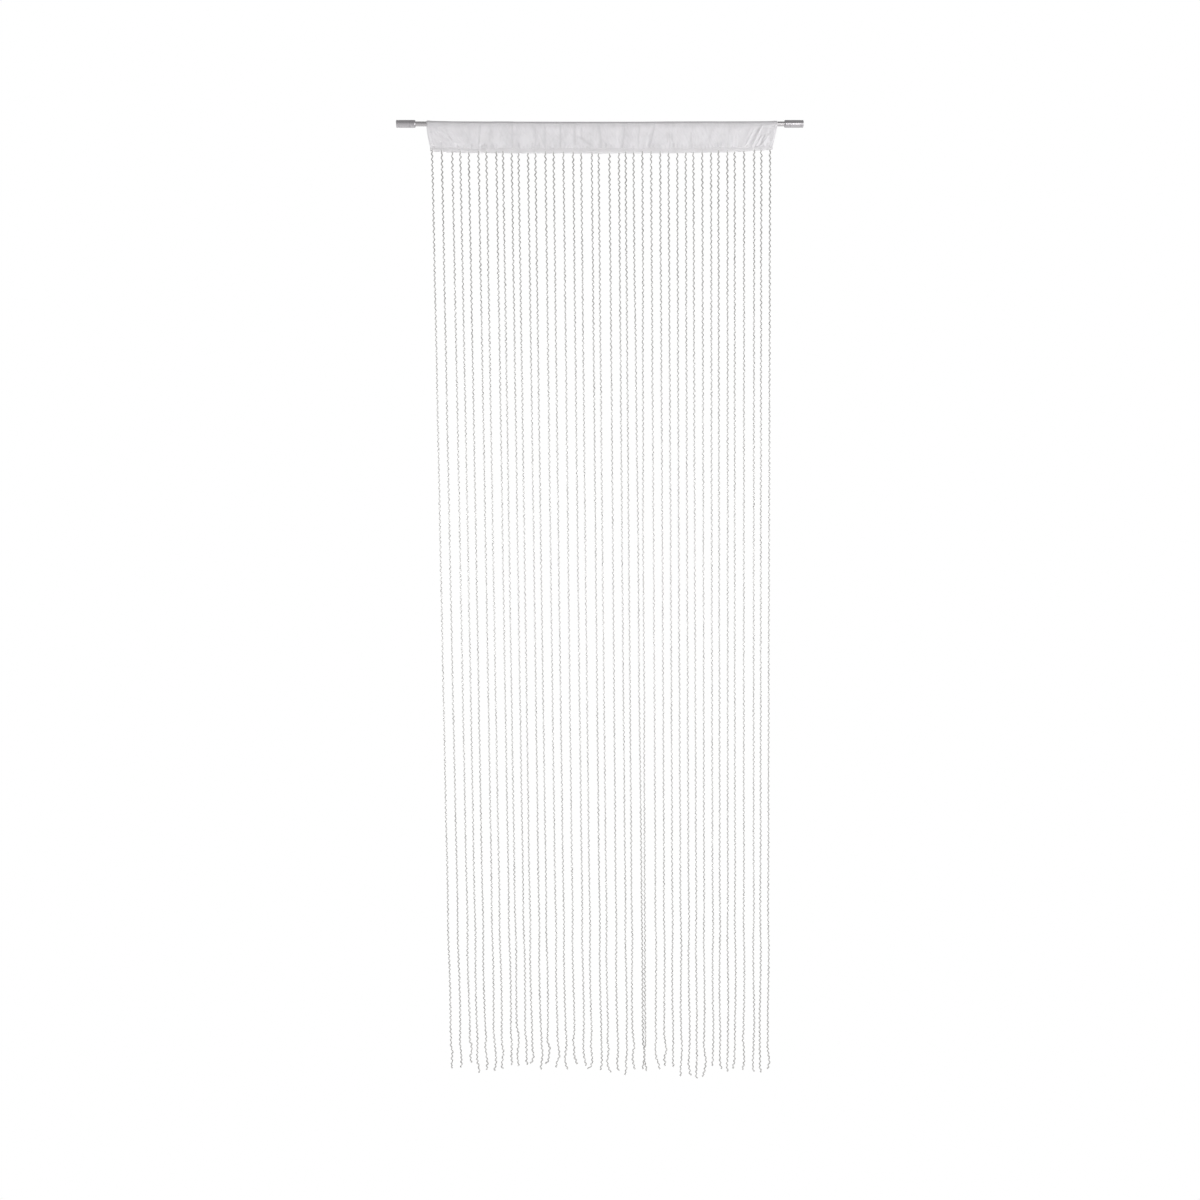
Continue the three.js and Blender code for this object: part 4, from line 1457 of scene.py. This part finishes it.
def floor_material():
    """Pale studio floor, which shows the camera the same white as the world above it."""
    material, nodes = new_material("Pale floor")
    made = material.node_tree.nodes
    grain = nodes.noise(nodes.object_place(), 40.0, 3.0)
    path = nodes.outputs("ShaderNodeLightPath")
    white = nodes.value("ShaderNodeEmission", {"Color": WHITE, "Strength": 1.0})
    lit = Value(nodes, made["Principled BSDF"].outputs[0])
    shown = {0: path["Is Camera Ray"], 1: lit, 2: white}
    nodes.fill(made["Material Output"].inputs, {"Surface": nodes.value("ShaderNodeMixShader", shown)})
    glow = path["Is Glossy Ray"].range(0.0, 1.0, FLOOR_GLOW, FLOOR_MIRRORED, "LINEAR")
    return finish_material(material, nodes, {
        "Base Color": toned(nodes, FLOOR_COLOUR, grain, 0.98, 1.02),
        "Roughness": grain.spread(0.85, 0.95), "Emission Color": WHITE, "Emission Strength": glow,
    })


class BuildStage(bpy.types.Operator):
    """Sets the floor, the lights and the camera"""

    bl_idname = "string_curtain.build_stage"
    bl_label = "Build stage"

    def execute(self, context):
        size = context.scene.curtain_stage
        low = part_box("string_band")[0].z - size.floor_drop
        half = size.floor_size / 2
        corners = [(-half, -half, low), (half, -half, low), (half, half, low), (-half, half, low)]
        mesh = bpy.data.meshes.new("floor")
        mesh.from_pydata(corners, [], [(0, 1, 2, 3)])
        mesh.materials.append(floor_material())
        floor = link_object("floor", mesh)
        for panel in LIGHTS:
            add_light(*panel)
        studio_world()
        camera = link_object("camera", bpy.data.cameras.new("camera"))
        camera.data.lens, camera.data.sensor_width = CAMERA_LENS, CAMERA_SENSOR
        camera.matrix_world = camera_matrix()
        context.scene.camera = camera
        context.scene.view_settings.view_transform = "Standard"
        # A guide picture that is itself smoothed would straighten the fine crimp of the yarns
        context.scene.cycles.denoising_prefilter = "NONE"
        return {"FINISHED"}


class CurtainPanel(bpy.types.Panel):
    """Lists the curtain's pieces and their sizes"""

    bl_idname = "VIEW3D_PT_string_curtain"
    bl_label = "String curtain"
    bl_space_type = "VIEW_3D"
    bl_region_type = "UI"
    bl_category = "String curtain"

    def draw(self, context):
        for name, operators in PANEL_ROWS:
            box = self.layout.box()
            settings = getattr(context.scene, name)
            for key in settings.bl_rna.properties.keys():
                if key not in ("rna_type", "name"):
                    box.prop(settings, key)
            for operator in operators:
                box.operator(operator.bl_idname)


SETTINGS = {
    "curtain_rod": RodSettings,
    "curtain_header": HeaderSettings,
    "curtain_band": BandSettings,
    "curtain_yarn": YarnSettings,
    "curtain_stitch": StitchSettings,
    "curtain_stage": StageSettings,
}
PANEL_ROWS = (
    ("curtain_rod", (BuildRod, BuildCaps)),
    ("curtain_header", (BuildHeader,)),
    ("curtain_band", (BuildBand,)),
    ("curtain_yarn", (BuildYarns,)),
    ("curtain_stitch", (BuildStitches,)),
    ("curtain_stage", (BuildStage,)),
)
OPERATORS = tuple(operator for _, operators in PANEL_ROWS for operator in operators)


def register():
    for group in (*SETTINGS.values(), *OPERATORS, CurtainPanel):
        bpy.utils.register_class(group)
    for name, group in SETTINGS.items():
        setattr(bpy.types.Scene, name, bpy.props.PointerProperty(type=group))


def unregister():
    for name in SETTINGS:
        delattr(bpy.types.Scene, name)
    for group in (CurtainPanel, *reversed(OPERATORS), *SETTINGS.values()):
        bpy.utils.unregister_class(group)


def main():
    register()
    bpy.ops.string_curtain.build_rod()
    bpy.ops.string_curtain.build_caps()
    bpy.ops.string_curtain.build_header()
    bpy.ops.string_curtain.build_band()
    bpy.ops.string_curtain.build_yarns()
    bpy.ops.string_curtain.build_stitches()
    bpy.ops.string_curtain.build_stage()
    declare_sheet()


if __name__ == "__main__":
    main()
